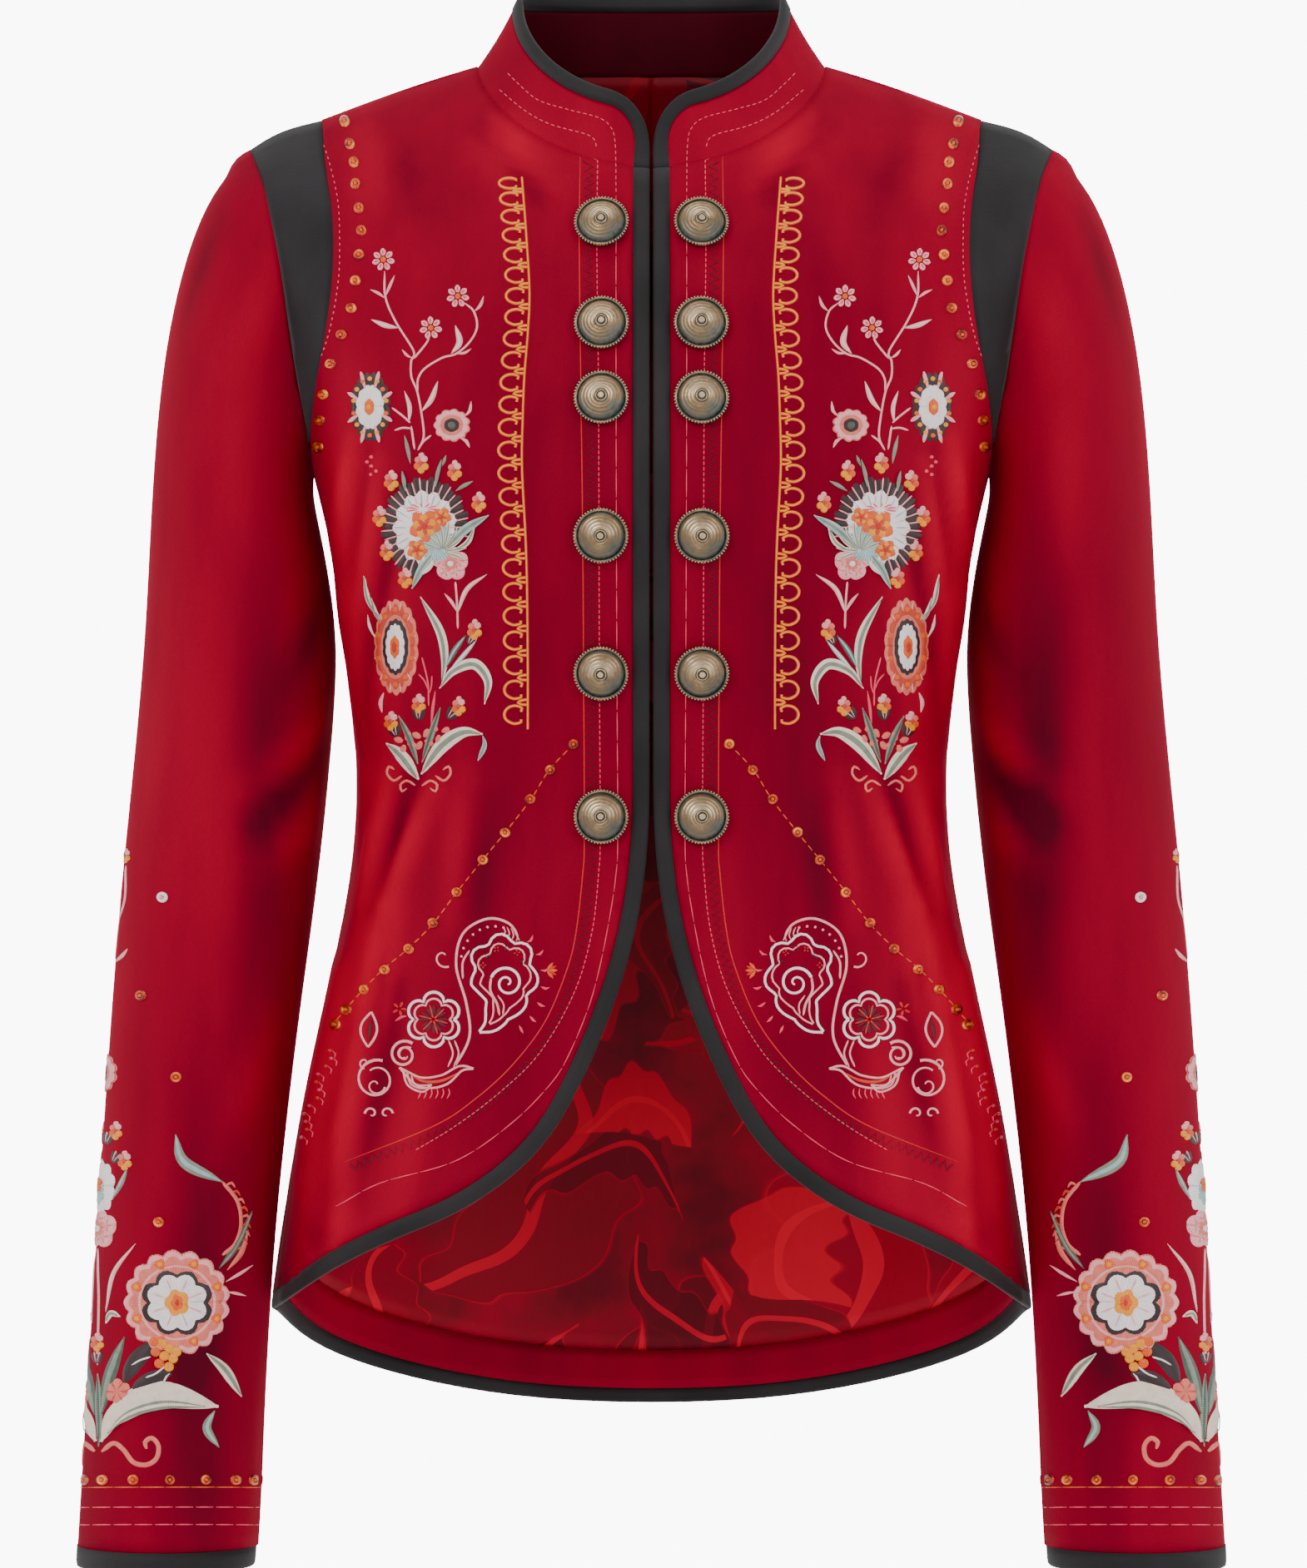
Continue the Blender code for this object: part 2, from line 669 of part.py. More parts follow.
def make_sleeves():
    """The two-piece sleeves: a top sleeve over the front and the outside, and an under sleeve behind."""
    rings = list(reversed(sleeve_rings()))
    normals = own_normals(rings, closed=True)
    cuff_end = rings[0]
    lift = CUFF_BINDING_WIDTH + SEAM_GAP / 2
    rings[0] = [a + (b - a).normalized() * lift for a, b in zip(cuff_end, rings[1])]
    count = len(rings[0])
    inner_seam = count // 2
    pieces = {
        "top_sleeve": list(range(inner_seam, count)) + list(range(BACK_SLEEVE_SEAM + 1)),
        "under_sleeve": list(range(BACK_SLEEVE_SEAM, inner_seam + 1)),
    }
    for piece, columns in pieces.items():
        cloth = [[ring[k] for k in columns] for ring in rings]
        outer = shrunk(cloth, SEAM_GAP)
        inner = moved(outer, [[line[k] for k in columns] for line in normals], -WALL)
        both_sides(
            lambda side, mirrored: wall(f"{piece}_{side}", outer, inner, "red_velvet", mirrored=mirrored)
        )
    make_cuff_bindings(cuff_end, rings[1], normals[0])


def binding_section(width):
    """The binding's section: distance from the open edge, and height off the cloth's outer face."""
    high, low = BINDING_PROUD, -WALL - BINDING_PROUD
    width -= SEAM_GAP / 2
    return [
        (0.0, high - BINDING_ROUND),
        (BINDING_ROUND, high),
        (width, high),
        (width, low),
        (BINDING_ROUND, low),
        (0.0, low + BINDING_ROUND),
    ]


def binding(name, edge, inward, outward, width, closed=False, mirrored=False):
    """A binding swept along an open edge, a given width into the cloth."""
    rings = []
    for point, into, out in zip(edge, inward, outward):
        ring = []
        for distance, height in binding_section(width):
            ring.append(point + into * distance + out * height)
        rings.append(ring)
    if mirrored:
        rings = [[Vector((-p.x, p.y, p.z)) for p in ring] for ring in rings]
    count, sides = len(rings), len(rings[0])
    faces = []
    for i in range(count if closed else count - 1):
        for j in range(sides):
            a, b = i * sides + j, i * sides + (j + 1) % sides
            following = ((i + 1) % count) * sides
            faces.append((a, b, following + (j + 1) % sides, following + j))
    if not closed:
        faces.append(tuple(range(sides)))
        faces.append(tuple((count - 1) * sides + j for j in range(sides)))
    return solid(name, [p for ring in rings for p in ring], faces, "black_binding")


def shortened(points, gap):
    """The line with each end drawn back by half of a seam's gap."""
    line = [p.copy() for p in points]
    line[0] += (points[1] - points[0]).normalized() * gap / 2
    line[-1] += (points[-2] - points[-1]).normalized() * gap / 2
    return line


def edge_binding(name, edge, cut, mirrored=False):
    """A binding on the form between its open edge and the cut edge of the cloth, both given as places."""
    open_edge = shortened([form_point(*place) for place in edge], SEAM_GAP)
    cut_edge = shortened([form_point(*place) for place in cut], SEAM_GAP)
    inward = [(inner - outer) / BINDING_WIDTH for outer, inner in zip(open_edge, cut_edge)]
    normals = [form_normal(*place) for place in edge]
    binding(name, open_edge, inward, normals, BINDING_WIDTH, mirrored=mirrored)


def make_body_bindings():
    edge, cut = front_edge_and_cut()
    both_sides(lambda side, mirrored: edge_binding(f"front_binding_{side}", edge, cut, mirrored))
    edge = back_hem_places()
    edge_binding("back_binding", edge, drawn_in(edge, BINDING_WIDTH, (True, True)))


def make_cuff_bindings(edge, above, normals):
    inward = [(b - a).normalized() for a, b in zip(edge, above)]
    both_sides(
        lambda side, mirrored: binding(
            f"cuff_binding_{side}", edge, inward, normals, CUFF_BINDING_WIDTH, closed=True, mirrored=mirrored
        )
    )


def collar_foot_and_top(turn):
    """The neck seam and the collar's full height above it, at a turn."""
    c, s = math.cos(math.radians(turn)), math.sin(math.radians(turn))
    end = "front" if c >= 0 else "back"
    end_y, end_z = getattr(COLLAR_TOP, end + "_y"), getattr(COLLAR_TOP, end + "_z")
    top_z = COLLAR_TOP.side_z + (end_z - COLLAR_TOP.side_z) * abs(c)
    top = Vector((COLLAR_TOP.side_x * s, -end_y * c, top_z)) * MM
    return form_point(turn, NECK_LEVEL), top


def collar_height(turn):
    foot, top = collar_foot_and_top(turn)
    return (top - foot).length


def collar_point(turn, rise):
    """The collar's outer face at a turn and a height above the neck seam."""
    foot, top = collar_foot_and_top(turn)
    share = rise / (top - foot).length
    inward = Vector((-foot.x, -foot.y, 0)).normalized()
    return foot.lerp(top, share) + inward * COLLAR_HOLLOW * math.sin(math.pi * share)


def turn_along_neck(distance):
    """The turn at a distance along the neck seam from the collar's front end."""
    turn = turn_at(FRONT_GAP / 2, NECK_LEVEL)
    per_degree = (form_point(turn, NECK_LEVEL) - form_point(turn + 10, NECK_LEVEL)).length / 10
    return turn + distance / per_degree


def collar_edge(inset):
    """A line up the left front end, round the corners and the top and down the right end, inset from them.

    Its places are turns and heights. The first two and the last two lie on the straight front ends,
    and those along the top lie over the columns of the panels below.
    """
    straight = collar_height(0) - COLLAR_CORNER
    corner = COLLAR_CORNER - inset
    places = [(turn_along_neck(inset), 0.0), (turn_along_neck(inset), straight / 2)]
    for i in range(CORNER_STEPS + 1):
        angle = math.pi / 2 * i / CORNER_STEPS
        distance = inset + corner * (1 - math.cos(angle))
        places.append((turn_along_neck(distance), straight + corner * math.sin(angle)))
    after_corner = turn_along_neck(COLLAR_CORNER) + 4
    for turn, _ in front_places()[-1] + back_places()[-1][1:]:
        if after_corner < turn <= 180:
            places.append((turn, collar_height(turn) - inset))
    return places + [(360 - turn, rise) for turn, rise in reversed(places[:-1])]


def make_collar():
    cut_edge = collar_edge(BINDING_WIDTH)
    rows = [
        [collar_point(turn, rise * i / COLLAR_ROWS) for turn, rise in cut_edge[2:-2]]
        for i in range(COLLAR_ROWS + 1)
    ]
    normals = own_normals(rows, closed=False)
    outer = shrunk(rows, SEAM_GAP)
    wall("collar", outer, moved(outer, normals, -WALL), "red_velvet")
    open_edge = shortened([collar_point(*place) for place in collar_edge(0.0)], SEAM_GAP)
    inner_edge = shortened([collar_point(*place) for place in cut_edge], SEAM_GAP)
    inward = [(inner - outer) / BINDING_WIDTH for outer, inner in zip(open_edge, inner_edge)]
    outward = []
    for i, into in enumerate(inward):
        tangent = open_edge[min(i + 1, len(open_edge) - 1)] - open_edge[max(i - 1, 0)]
        outward.append(into.cross(tangent).normalized())
    binding("collar_binding", open_edge, inward, outward, BINDING_WIDTH)


def make_buttons():
    """Two rows of domed shank buttons, seated on the faces of the fronts."""
    points, _ = on_form(front_places())
    columns = len(points[0])
    faces = [
        (i * columns + j, i * columns + j + 1, (i + 1) * columns + j + 1, (i + 1) * columns + j)
        for i in range(len(points) - 1)
        for j in range(columns - 1)
    ]
    panel = BVHTree.FromPolygons([p for row in points for p in row], faces)
    for number, height in enumerate(BUTTON_HEIGHTS, start=1):
        in_front = Vector((BUTTON_OUT, -1, height * MM))
        seat = panel.ray_cast(in_front, Vector((0, 1, 0)))[0]
        level = level_where("front_z", height * MM)
        out = form_normal(turn_at(BUTTON_OUT, level), level)
        both_sides(lambda side, mirrored: button(f"button_{side}_{number}", seat, out, mirrored))


def button(name, seat, out, mirrored):
    """One button: a shank on the cloth, a flat back plate, and a dome with a knob in its middle."""
    foot = SEAM_GAP
    plate = foot + SHANK_LENGTH
    profile = [(SHANK_RADIUS, foot), (SHANK_RADIUS, plate)]
    profile += [(row.radius * MM, plate + row.height * MM) for row in BUTTON_PROFILE]
    across = out.cross(Vector((0, 0, 1))).normalized()
    up = across.cross(out).normalized()
    points = []
    for radius, height in profile:
        for k in range(BUTTON_SIDES):
            angle = 2 * math.pi * k / BUTTON_SIDES
            flat = across * math.cos(angle) + up * math.sin(angle)
            points.append(seat + out * height + flat * radius)
    if mirrored:
        points = [Vector((-p.x, p.y, p.z)) for p in points]
    faces = [tuple(range(BUTTON_SIDES))]
    for i in range(len(profile) - 1):
        for k in range(BUTTON_SIDES):
            a, b = i * BUTTON_SIDES + k, i * BUTTON_SIDES + (k + 1) % BUTTON_SIDES
            faces.append((a, b, b + BUTTON_SIDES, a + BUTTON_SIDES))
    faces.append(tuple((len(profile) - 1) * BUTTON_SIDES + k for k in range(BUTTON_SIDES)))
    solid(name, points, faces, "antique_brass")


def main():
    for old in list(bpy.data.objects):
        bpy.data.objects.remove(old)
    make_fronts()
    make_backs()
    make_back_facing_and_lining()
    make_armhole_panels()
    make_sleeves()
    make_collar()
    make_body_bindings()
    make_buttons()


main()
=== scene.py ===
import json
import math
from collections import namedtuple

import bmesh
import bpy
import numpy as np
from mathutils import Matrix, Vector
from mathutils.bvhtree import BVHTree


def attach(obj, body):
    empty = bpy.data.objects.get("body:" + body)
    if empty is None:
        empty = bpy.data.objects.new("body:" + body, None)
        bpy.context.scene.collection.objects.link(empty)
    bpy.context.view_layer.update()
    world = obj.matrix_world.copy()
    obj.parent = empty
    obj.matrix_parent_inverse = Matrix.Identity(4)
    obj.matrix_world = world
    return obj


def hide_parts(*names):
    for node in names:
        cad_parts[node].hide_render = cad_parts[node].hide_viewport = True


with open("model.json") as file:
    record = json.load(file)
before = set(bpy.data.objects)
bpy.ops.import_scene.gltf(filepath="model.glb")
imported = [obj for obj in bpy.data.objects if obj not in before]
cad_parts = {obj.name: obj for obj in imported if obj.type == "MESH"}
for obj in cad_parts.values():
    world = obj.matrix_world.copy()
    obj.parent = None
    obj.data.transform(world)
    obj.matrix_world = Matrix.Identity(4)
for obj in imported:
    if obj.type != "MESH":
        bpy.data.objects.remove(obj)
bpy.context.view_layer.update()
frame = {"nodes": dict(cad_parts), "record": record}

MM = 0.001

# The photograph's frame, and the camera that gives it
PHOTO_WIDTH, PHOTO_HEIGHT = 1570, 1884
PIXEL = 0.38 * MM
AXIS_PIXEL = 782.5
LEVEL_PIXEL = 100
CAMERA_DISTANCE = 3.2
CAMERA_X = (PHOTO_WIDTH / 2 - AXIS_PIXEL) * PIXEL
CAMERA_Z = (LEVEL_PIXEL - PHOTO_HEIGHT / 2) * PIXEL
SENSOR_WIDTH = 36
EYE = Vector((CAMERA_X, -CAMERA_DISTANCE, CAMERA_Z))


# Shells: the cloth, made from the solids

def deselect_all():
    for obj in bpy.context.selected_objects:
        obj.select_set(False)


def new_object(name, data):
    made = bpy.data.objects.new(name, data)
    bpy.context.scene.collection.objects.link(made)
    return made


def places_of(mesh):
    """A mesh's points, as rows of x, y and z."""
    points = np.empty(len(mesh.vertices) * 3)
    mesh.vertices.foreach_get("co", points)
    return points.reshape(-1, 3)


def keep_values(mesh, name, values):
    """Keeps a number for each point of a mesh, for its material to read."""
    made = mesh.attributes.new(name, "FLOAT", "POINT")
    made.data.foreach_set("value", values.astype(np.float32))


def apply_modifiers(obj):
    deselect_all()
    bpy.context.view_layer.objects.active = obj
    obj.select_set(True)
    for modifier in list(obj.modifiers):
        bpy.ops.object.modifier_apply(modifier=modifier.name)
    obj.select_set(False)


SEAM_REACH = 0.45 * MM
PANEL_SEAM_REACH = 0.2 * MM
JOIN_TURN = math.radians(40)
JOIN_SKEW = math.radians(60)
RIM_TURN = math.radians(50)


def close_seams(shape, crease, reach):
    """Moves each wall's rims out until they meet the next piece's, as sewn."""
    shape.normal_update()
    ways = {}
    for face in shape.faces:
        if sum(edge[crease] > 0.5 for edge in face.edges) >= 2:
            for vert in face.verts:
                ways.setdefault(vert, []).append(face.normal.copy())
    for vert, normals in ways.items():
        total = sum(normals, Vector())
        vert.co += total * (reach / max(min(total.dot(normal) for normal in normals), 0.5))


def cloth_shell(node, name, levels):
    """A smooth copy of a cloth node: its rims stay crisp and its faces turn round."""
    mesh = frame["nodes"][node].data.copy()
    shell = new_object(name, mesh)
    shape = bmesh.new()
    shape.from_mesh(mesh)
    bmesh.ops.remove_doubles(shape, verts=shape.verts, dist=0.01 * MM)
    bmesh.ops.join_triangles(
        shape, faces=shape.faces, angle_face_threshold=JOIN_TURN, angle_shape_threshold=JOIN_SKEW
    )
    crease = shape.edges.layers.float.new("crease_edge")
    for edge in shape.edges:
        if len(edge.link_faces) == 2 and edge.calc_face_angle() > RIM_TURN:
            edge[crease] = 1.0
    if "binding" not in node:
        close_seams(shape, crease, PANEL_SEAM_REACH if "panel" in node else SEAM_REACH)
    for face in shape.faces:
        face.smooth = True
    shape.to_mesh(mesh)
    shape.free()
    smoother = shell.modifiers.new("smooth", "SUBSURF")
    smoother.levels = smoother.render_levels = levels
    apply_modifiers(shell)
    return shell


# The main creases: soft ridges and troughs, placed one by one. Sizes in millimetres.
# Out is the distance from the body's mid-plane; heights below 0 are troughs.
Crease = namedtuple("Crease", "name out_a z_a out_b z_b width height")
FRONT_CREASES = [
    Crease("underarm_ridge", 134, -168, 141, -212, 4.5, 2.6),
    Crease("underarm_trough", 128, -172, 136, -226, 4.5, -2.6),
    Crease("underarm_low_ridge", 122, -178, 130, -240, 5.0, 2.2),
    Crease("rib_trough", 115, -190, 126, -262, 6.0, -2.0),
    Crease("bust_side_ridge", 106, -206, 122, -284, 8.0, 1.6),
    Crease("side_rib_ridge", 139, -214, 142, -276, 6.0, 1.8),
    Crease("waist_ridge", 98, -322, 119, -374, 5.5, 3.4),
    Crease("waist_ridge_low", 119, -374, 127, -412, 6.0, 2.6),
    Crease("waist_trough", 108, -318, 127, -376, 5.0, -3.0),
    Crease("side_waist_ridge", 119, -318, 133, -372, 5.0, 2.8),
    Crease("side_waist_trough", 129, -330, 142, -396, 5.0, -2.6),
    Crease("middle_ridge", 84, -318, 90, -380, 7.0, 1.4),
    Crease("middle_trough", 73, -330, 78, -392, 8.0, -1.4),
    Crease("skirt_ridge", 128, -418, 148, -512, 7.0, 3.0),
    Crease("skirt_trough", 116, -412, 134, -504, 8.0, -2.6),
    Crease("skirt_side_ridge", 142, -404, 160, -500, 6.0, 2.4),
    Crease("skirt_side_trough", 136, -430, 154, -520, 5.0, -2.2),
    Crease("skirt_front_ridge", 98, -430, 112, -510, 9.0, 1.6),
    Crease("hem_ridge", 136, -500, 142, -528, 3.5, 1.5),
    Crease("hem_side_ridge", 150, -480, 158, -524, 4.0, 1.5),
    Crease("hem_trough", 143, -486, 150, -526, 3.5, -1.6),
    Crease("hip_thin_ridge", 112, -374, 124, -440, 3.5, 1.5),
    Crease("hip_thin_trough", 117, -388, 130, -452, 3.5, -1.6),
    Crease("side_thin_ridge", 132, -238, 136, -300, 3.5, 1.4),
    Crease("side_thin_trough", 127, -240, 130, -306, 3.5, -1.4),
    Crease("collar_base_ridge", 70, -20, 44, -52, 5.0, 1.3),
    Crease("collar_base_trough", 78, -24, 52, -58, 5.0, -1.3),
    Crease("shoulder_trough", 120, -20, 104, -60, 9.0, -0.9),
]
BACK_CREASES = [
    Crease("underarm_ridge", 128, -158, 141, -214, 5.0, 1.5),
    Crease("underarm_trough", 119, -164, 134, -228, 5.0, -1.3),
    Crease("blade_ridge", 88, -150, 112, -232, 9.0, 1.0),
    Crease("waist_ridge", 58, -318, 84, -364, 6.0, 1.6),
    Crease("waist_trough", 48, -322, 74, -384, 5.0, -1.1),
    Crease("waist_side_ridge", 104, -306, 124, -352, 6.0, 1.8),
    Crease("waist_side_trough", 96, -322, 118, -376, 5.0, -1.2),
    Crease("skirt_ridge", 92, -410, 106, -540, 9.0, 1.5),
    Crease("skirt_trough", 72, -420, 84, -540, 7.0, -1.0),
    Crease("skirt_thin_ridge", 118, -396, 130, -470, 5.0, 1.2),
    Crease("nape_trough", 40, 0, 66, -24, 7.0, -0.6),
]


# Painted sheen and painted shade: patches where the velvet's colour is painted lighter, or darker where the
# share is below 0
Patch = namedtuple("Patch", "name out z wide high share")
BODY_PAINTED_SHEEN = [
    Patch("side_ribs", 136, -215, 13, 60, 0.48),
    Patch("side_waist", 128, -345, 16, 60, 0.40),
    Patch("hip", 142, -450, 20, 90, 0.50),
    Patch("collar_base", 62, -34, 16, 12, 0.30),
    Patch("shoulder_tip", 128, -40, 10, 26, 0.20),
    Patch("front_middle", 60, -260, 46, 150, -0.14),
    Patch("skirt_front", 70, -440, 26, 50, -0.12),
]
SLEEVE_PAINTED_SHEEN = [
    Patch("outer_elbow", 192, -330, 14, 70, 0.12),
    Patch("upper_front", 186, -170, 12, 60, 0.14),
    Patch("inner_elbow", 176, -330, 14, 120, -0.30),
    Patch("inner_wrist", 202, -560, 14, 110, -0.25),
]
PLAIN_SHEEN = 0.35
CREASE_PAINTED_SHEEN = 0.15


def painted_sheen_at(patches, points, heights):
    """How much painted sheen the velvet's colour gets, from 0 to 1: painted highlights on patches and crease
    ridges, painted shade in troughs and on patches below 0.
    """
    out, z = np.abs(points[:, 0]) / MM, points[:, 2] / MM
    # Crease ridges get a painted highlight, and troughs get painted shade
    total = PLAIN_SHEEN + CREASE_PAINTED_SHEEN * heights / MM
    for patch in patches:
        total += patch.share * np.exp(
            -(((out - patch.out) / patch.wide) ** 2) - ((z - patch.z) / patch.high) ** 2
        )
    return np.clip(total, 0, 1)


# How high a crease still is at its ends
CREASE_END = 0.35
BODY_HALF_WIDTH, BODY_HALF_DEPTH = 150, 100
SIDE_BLEND = 24 * MM


def near_line(across, along, a, b):
    """Distance from a point to a stretch of line, and how far along the stretch it lies."""
    stretch = np.array(b, float) - np.array(a, float)
    share = ((across - a[0]) * stretch[0] + (along - a[1]) * stretch[1]) / (stretch @ stretch)
    share = np.clip(share, 0, 1)
    return np.hypot(across - a[0] - share * stretch[0], along - a[1] - share * stretch[1]), share


def crease_heights(creases, across, along, across_scale=1.0):
    """How high the creases stand at each point, in metres."""
    total = np.zeros_like(across)
    for crease in creases:
        a, b = (crease.out_a * across_scale, crease.z_a), (crease.out_b * across_scale, crease.z_b)
        away, share = near_line(across * across_scale, along, a, b)
        taper = CREASE_END + (1 - CREASE_END) * np.sin(np.pi * np.clip(share, 0.08, 0.92))
        total += crease.height * taper * np.exp(-((away / crease.width) ** 2))
    return total * MM


def unit(ways):
    """Rows of directions, each made 1 long."""
    return ways / (np.linalg.norm(ways, axis=1, keepdims=True) + 1e-12)


def body_outward(points):
    """The level directions out from the body's middle line."""
    x, y, _ = points.T
    return unit(np.stack([x / BODY_HALF_WIDTH**2, y / BODY_HALF_DEPTH**2, np.zeros_like(x)], axis=1))


def body_creases(points):
    x, y, z = points.T
    front = crease_heights(FRONT_CREASES, np.abs(x) / MM, z / MM)
    back = crease_heights(BACK_CREASES, np.abs(x) / MM, z / MM)
    share = np.clip(0.5 - y / SIDE_BLEND, 0, 1)
    return front * share + back * (1 - share)


def drape_body(points):
    """How far, and which way, the creases move the body's cloth."""
    return body_outward(points) * body_creases(points)[:, None]


def body_painted_sheen(points):
    return painted_sheen_at(BODY_PAINTED_SHEEN, points, body_creases(points))


def move_points(obj, moves):
    points = places_of(obj.data)
    points += moves(points)
    obj.data.vertices.foreach_set("co", points.ravel())
    obj.data.update()


# The sleeve's middle line, in millimetres
MiddleRow = namedtuple("MiddleRow", "z out y")
SLEEVE_MIDDLE = [
    MiddleRow(-684, 220, -27),
    MiddleRow(-570, 214, -19),
    MiddleRow(-494, 209, -13),
    MiddleRow(-418, 203, -5),
    MiddleRow(-342, 195, 0),
    MiddleRow(-266, 188, 0),
    MiddleRow(-100, 188, 0),
    MiddleRow(-30, 186, 0),
]
# Sleeve creases: here out is the angle from the front towards the outside, in degrees
SLEEVE_CREASES = [
    Crease("elbow_ridge", -62, -292, -14, -322, 8, 1.6),
    Crease("elbow_trough", -74, -306, -22, -338, 8, -1.7),
    Crease("elbow_low_ridge", -70, -336, -30, -356, 9, 1.2),
    Crease("upper_trough", -66, -236, -34, -272, 9, -1.2),
    Crease("outer_elbow_ridge", 150, -300, 205, -334, 9, 1.5),
    Crease("outer_elbow_trough", 160, -322, 215, -352, 9, -1.5),
    Crease("forearm_ridge", -48, -430, -20, -486, 10, 1.0),
    Crease("wrist_trough", -40, -560, 10, -596, 10, -0.8),
    Crease("head_trough", 20, -66, 34, -104, 9, -0.9),
    Crease("front_head_ridge", -20, -88, -6, -132, 9, 1.0),
]
SLEEVE_MM_PER_DEGREE = 0.73
SLEEVE_TURN_START = -105


def sleeve_middle(z):
    """The sleeve's middle, as distances out and back, at heights in metres."""
    heights = [row.z * MM for row in SLEEVE_MIDDLE]
    return (
        np.interp(z, heights, [row.out * MM for row in SLEEVE_MIDDLE]),
        np.interp(z, heights, [row.y * MM for row in SLEEVE_MIDDLE]),
    )


def sleeve_outward(points):
    x, y, z = points.T
    out, back = sleeve_middle(z)
    return unit(np.stack([np.sign(x) * (np.abs(x) - out), y - back, np.zeros_like(x)], axis=1))


def sleeve_creases(points):
    way = sleeve_outward(points)
    turn = np.degrees(np.arctan2(np.sign(points[:, 0]) * way[:, 0], -way[:, 1]))
    turn = np.where(turn < SLEEVE_TURN_START, turn + 360, turn)
    return crease_heights(SLEEVE_CREASES, turn, points[:, 2] / MM, SLEEVE_MM_PER_DEGREE)


def drape_sleeve(points):
    """How far, and which way, the creases move a sleeve's cloth."""
    return sleeve_outward(points) * sleeve_creases(points)[:, None]


def sleeve_painted_sheen(points):
    return painted_sheen_at(SLEEVE_PAINTED_SHEEN, points, sleeve_creases(points))


# Faces that look inwards by more than this show the lining
INWARD = -0.25


def line_inside(obj, outward, lining):
    """Gives the faces that look inwards a second material."""
    mesh = obj.data
    mesh.materials.append(lining)
    count = len(mesh.polygons)
    centers, normals = np.empty(count * 3), np.empty(count * 3)
    mesh.polygons.foreach_get("center", centers)
    mesh.polygons.foreach_get("normal", normals)
    inward = (outward(centers.reshape(-1, 3)) * normals.reshape(-1, 3)).sum(axis=1) < INWARD
    mesh.polygons.foreach_set("material_index", inward.astype(np.int32))


# Materials

def srgb(red, green, blue):
    """A colour given as it looks on a screen, 0 to 255, in the renderer's own scale."""
    return tuple(
        v / 255 / 12.92 if v < 11 else ((v / 255 + 0.055) / 1.055) ** 2.4 for v in (red, green, blue)
    )


def grey(value):
    return (value,) * 3


class Value:
    """A number that changes over a surface, so that a material can do sums with it."""

    def __init__(self, tree, socket):
        self.tree, self.socket = tree, socket

    def __add__(self, other):
        return maths("ADD", self, other)

    def __sub__(self, other):
        return maths("SUBTRACT", self, other)

    def __rsub__(self, other):
        return maths("SUBTRACT", other, self)

    def __mul__(self, other):
        return maths("MULTIPLY", self, other)

    def __truediv__(self, other):
        return maths("DIVIDE", self, other)


def feed(tree, node, inputs):
    """Links values and sockets to a node's inputs, and sets plain numbers and colours there."""
    for name, value in inputs.items():
        socket = node.inputs[name]
        if isinstance(value, Value):
            tree.links.new(value.socket, socket)
        elif isinstance(value, bpy.types.NodeSocket):
            tree.links.new(value, socket)
        else:
            socket.default_value = (*value, 1) if socket.type == "RGBA" else value


def add_node(tree, kind, inputs=None):
    made = tree.nodes.new("ShaderNode" + kind)
    feed(tree, made, inputs or {})
    return made


def maths(operation, *values):
    """A sum of the given kind on values and plain numbers."""
    tree = next(value.tree for value in values if isinstance(value, Value))
    made = tree.nodes.new("ShaderNodeMath")
    made.operation = operation
    feed(tree, made, dict(enumerate(values)))
    return Value(tree, made.outputs[0])


def held_to(value, top):
    """The value, held between 0 and a top."""
    return maths("MINIMUM", maths("MAXIMUM", value, 0.0), top)


def vector_maths(tree, operation, a, b):
    made = tree.nodes.new("ShaderNodeVectorMath")
    made.operation = operation
    feed(tree, made, {0: a, 1: b})
    return made.outputs[0]


def separate(tree, kind, source):
    """The three parts of a vector or a colour."""
    made = add_node(tree, "Separate" + kind, {0: source})
    return [Value(tree, socket) for socket in made.outputs]


def mixed(share, a, b):
    """One colour where the share is 0, the other where it is 1."""
    made = share.tree.nodes.new("ShaderNodeMix")
    made.data_type = "RGBA"
    colors = [number for number, socket in enumerate(made.inputs) if socket.type == "RGBA"]
    feed(share.tree, made, {"Factor": share, colors[0]: a, colors[1]: b})
    return [socket for socket in made.outputs if socket.type == "RGBA"][0]


def ramp(value, stops):
    """A colour ramp on a value, from stops of place and colour."""
    made = add_node(value.tree, "ValToRGB", {"Fac": value})
    elements = made.color_ramp.elements
    while len(elements) < len(stops):
        elements.new(0.5)
    for element, (place, color) in zip(elements, stops):
        element.position = place
        element.color = (*color, 1)
    return made.outputs["Color"]


def bump(height, strength, distance):
    made = add_node(height.tree, "Bump", {"Height": height, "Strength": strength, "Distance": distance})
    return made.outputs["Normal"]


def kept_value(tree, name):
    """A number that a mesh keeps for each of its points."""
    made = tree.nodes.new("ShaderNodeAttribute")
    made.attribute_name = name
    return Value(tree, made.outputs["Fac"])


def group(name, inputs, outputs):
    """An empty shader node group with named sockets, and its input and output nodes."""
    made = bpy.data.node_groups.new(name, "ShaderNodeTree")
    for socket, kind in inputs:
        made.interface.new_socket(socket, in_out="INPUT", socket_type=kind)
    for socket, kind in outputs:
        made.interface.new_socket(socket, in_out="OUTPUT", socket_type=kind)
    return made, made.nodes.new("NodeGroupInput"), made.nodes.new("NodeGroupOutput")


def place_group(tree, group_tree, inputs):
    """Puts a node group into a material, with its own values."""
    made = tree.nodes.new("ShaderNodeGroup")
    made.node_tree = group_tree
    feed(tree, made, inputs)
    return made


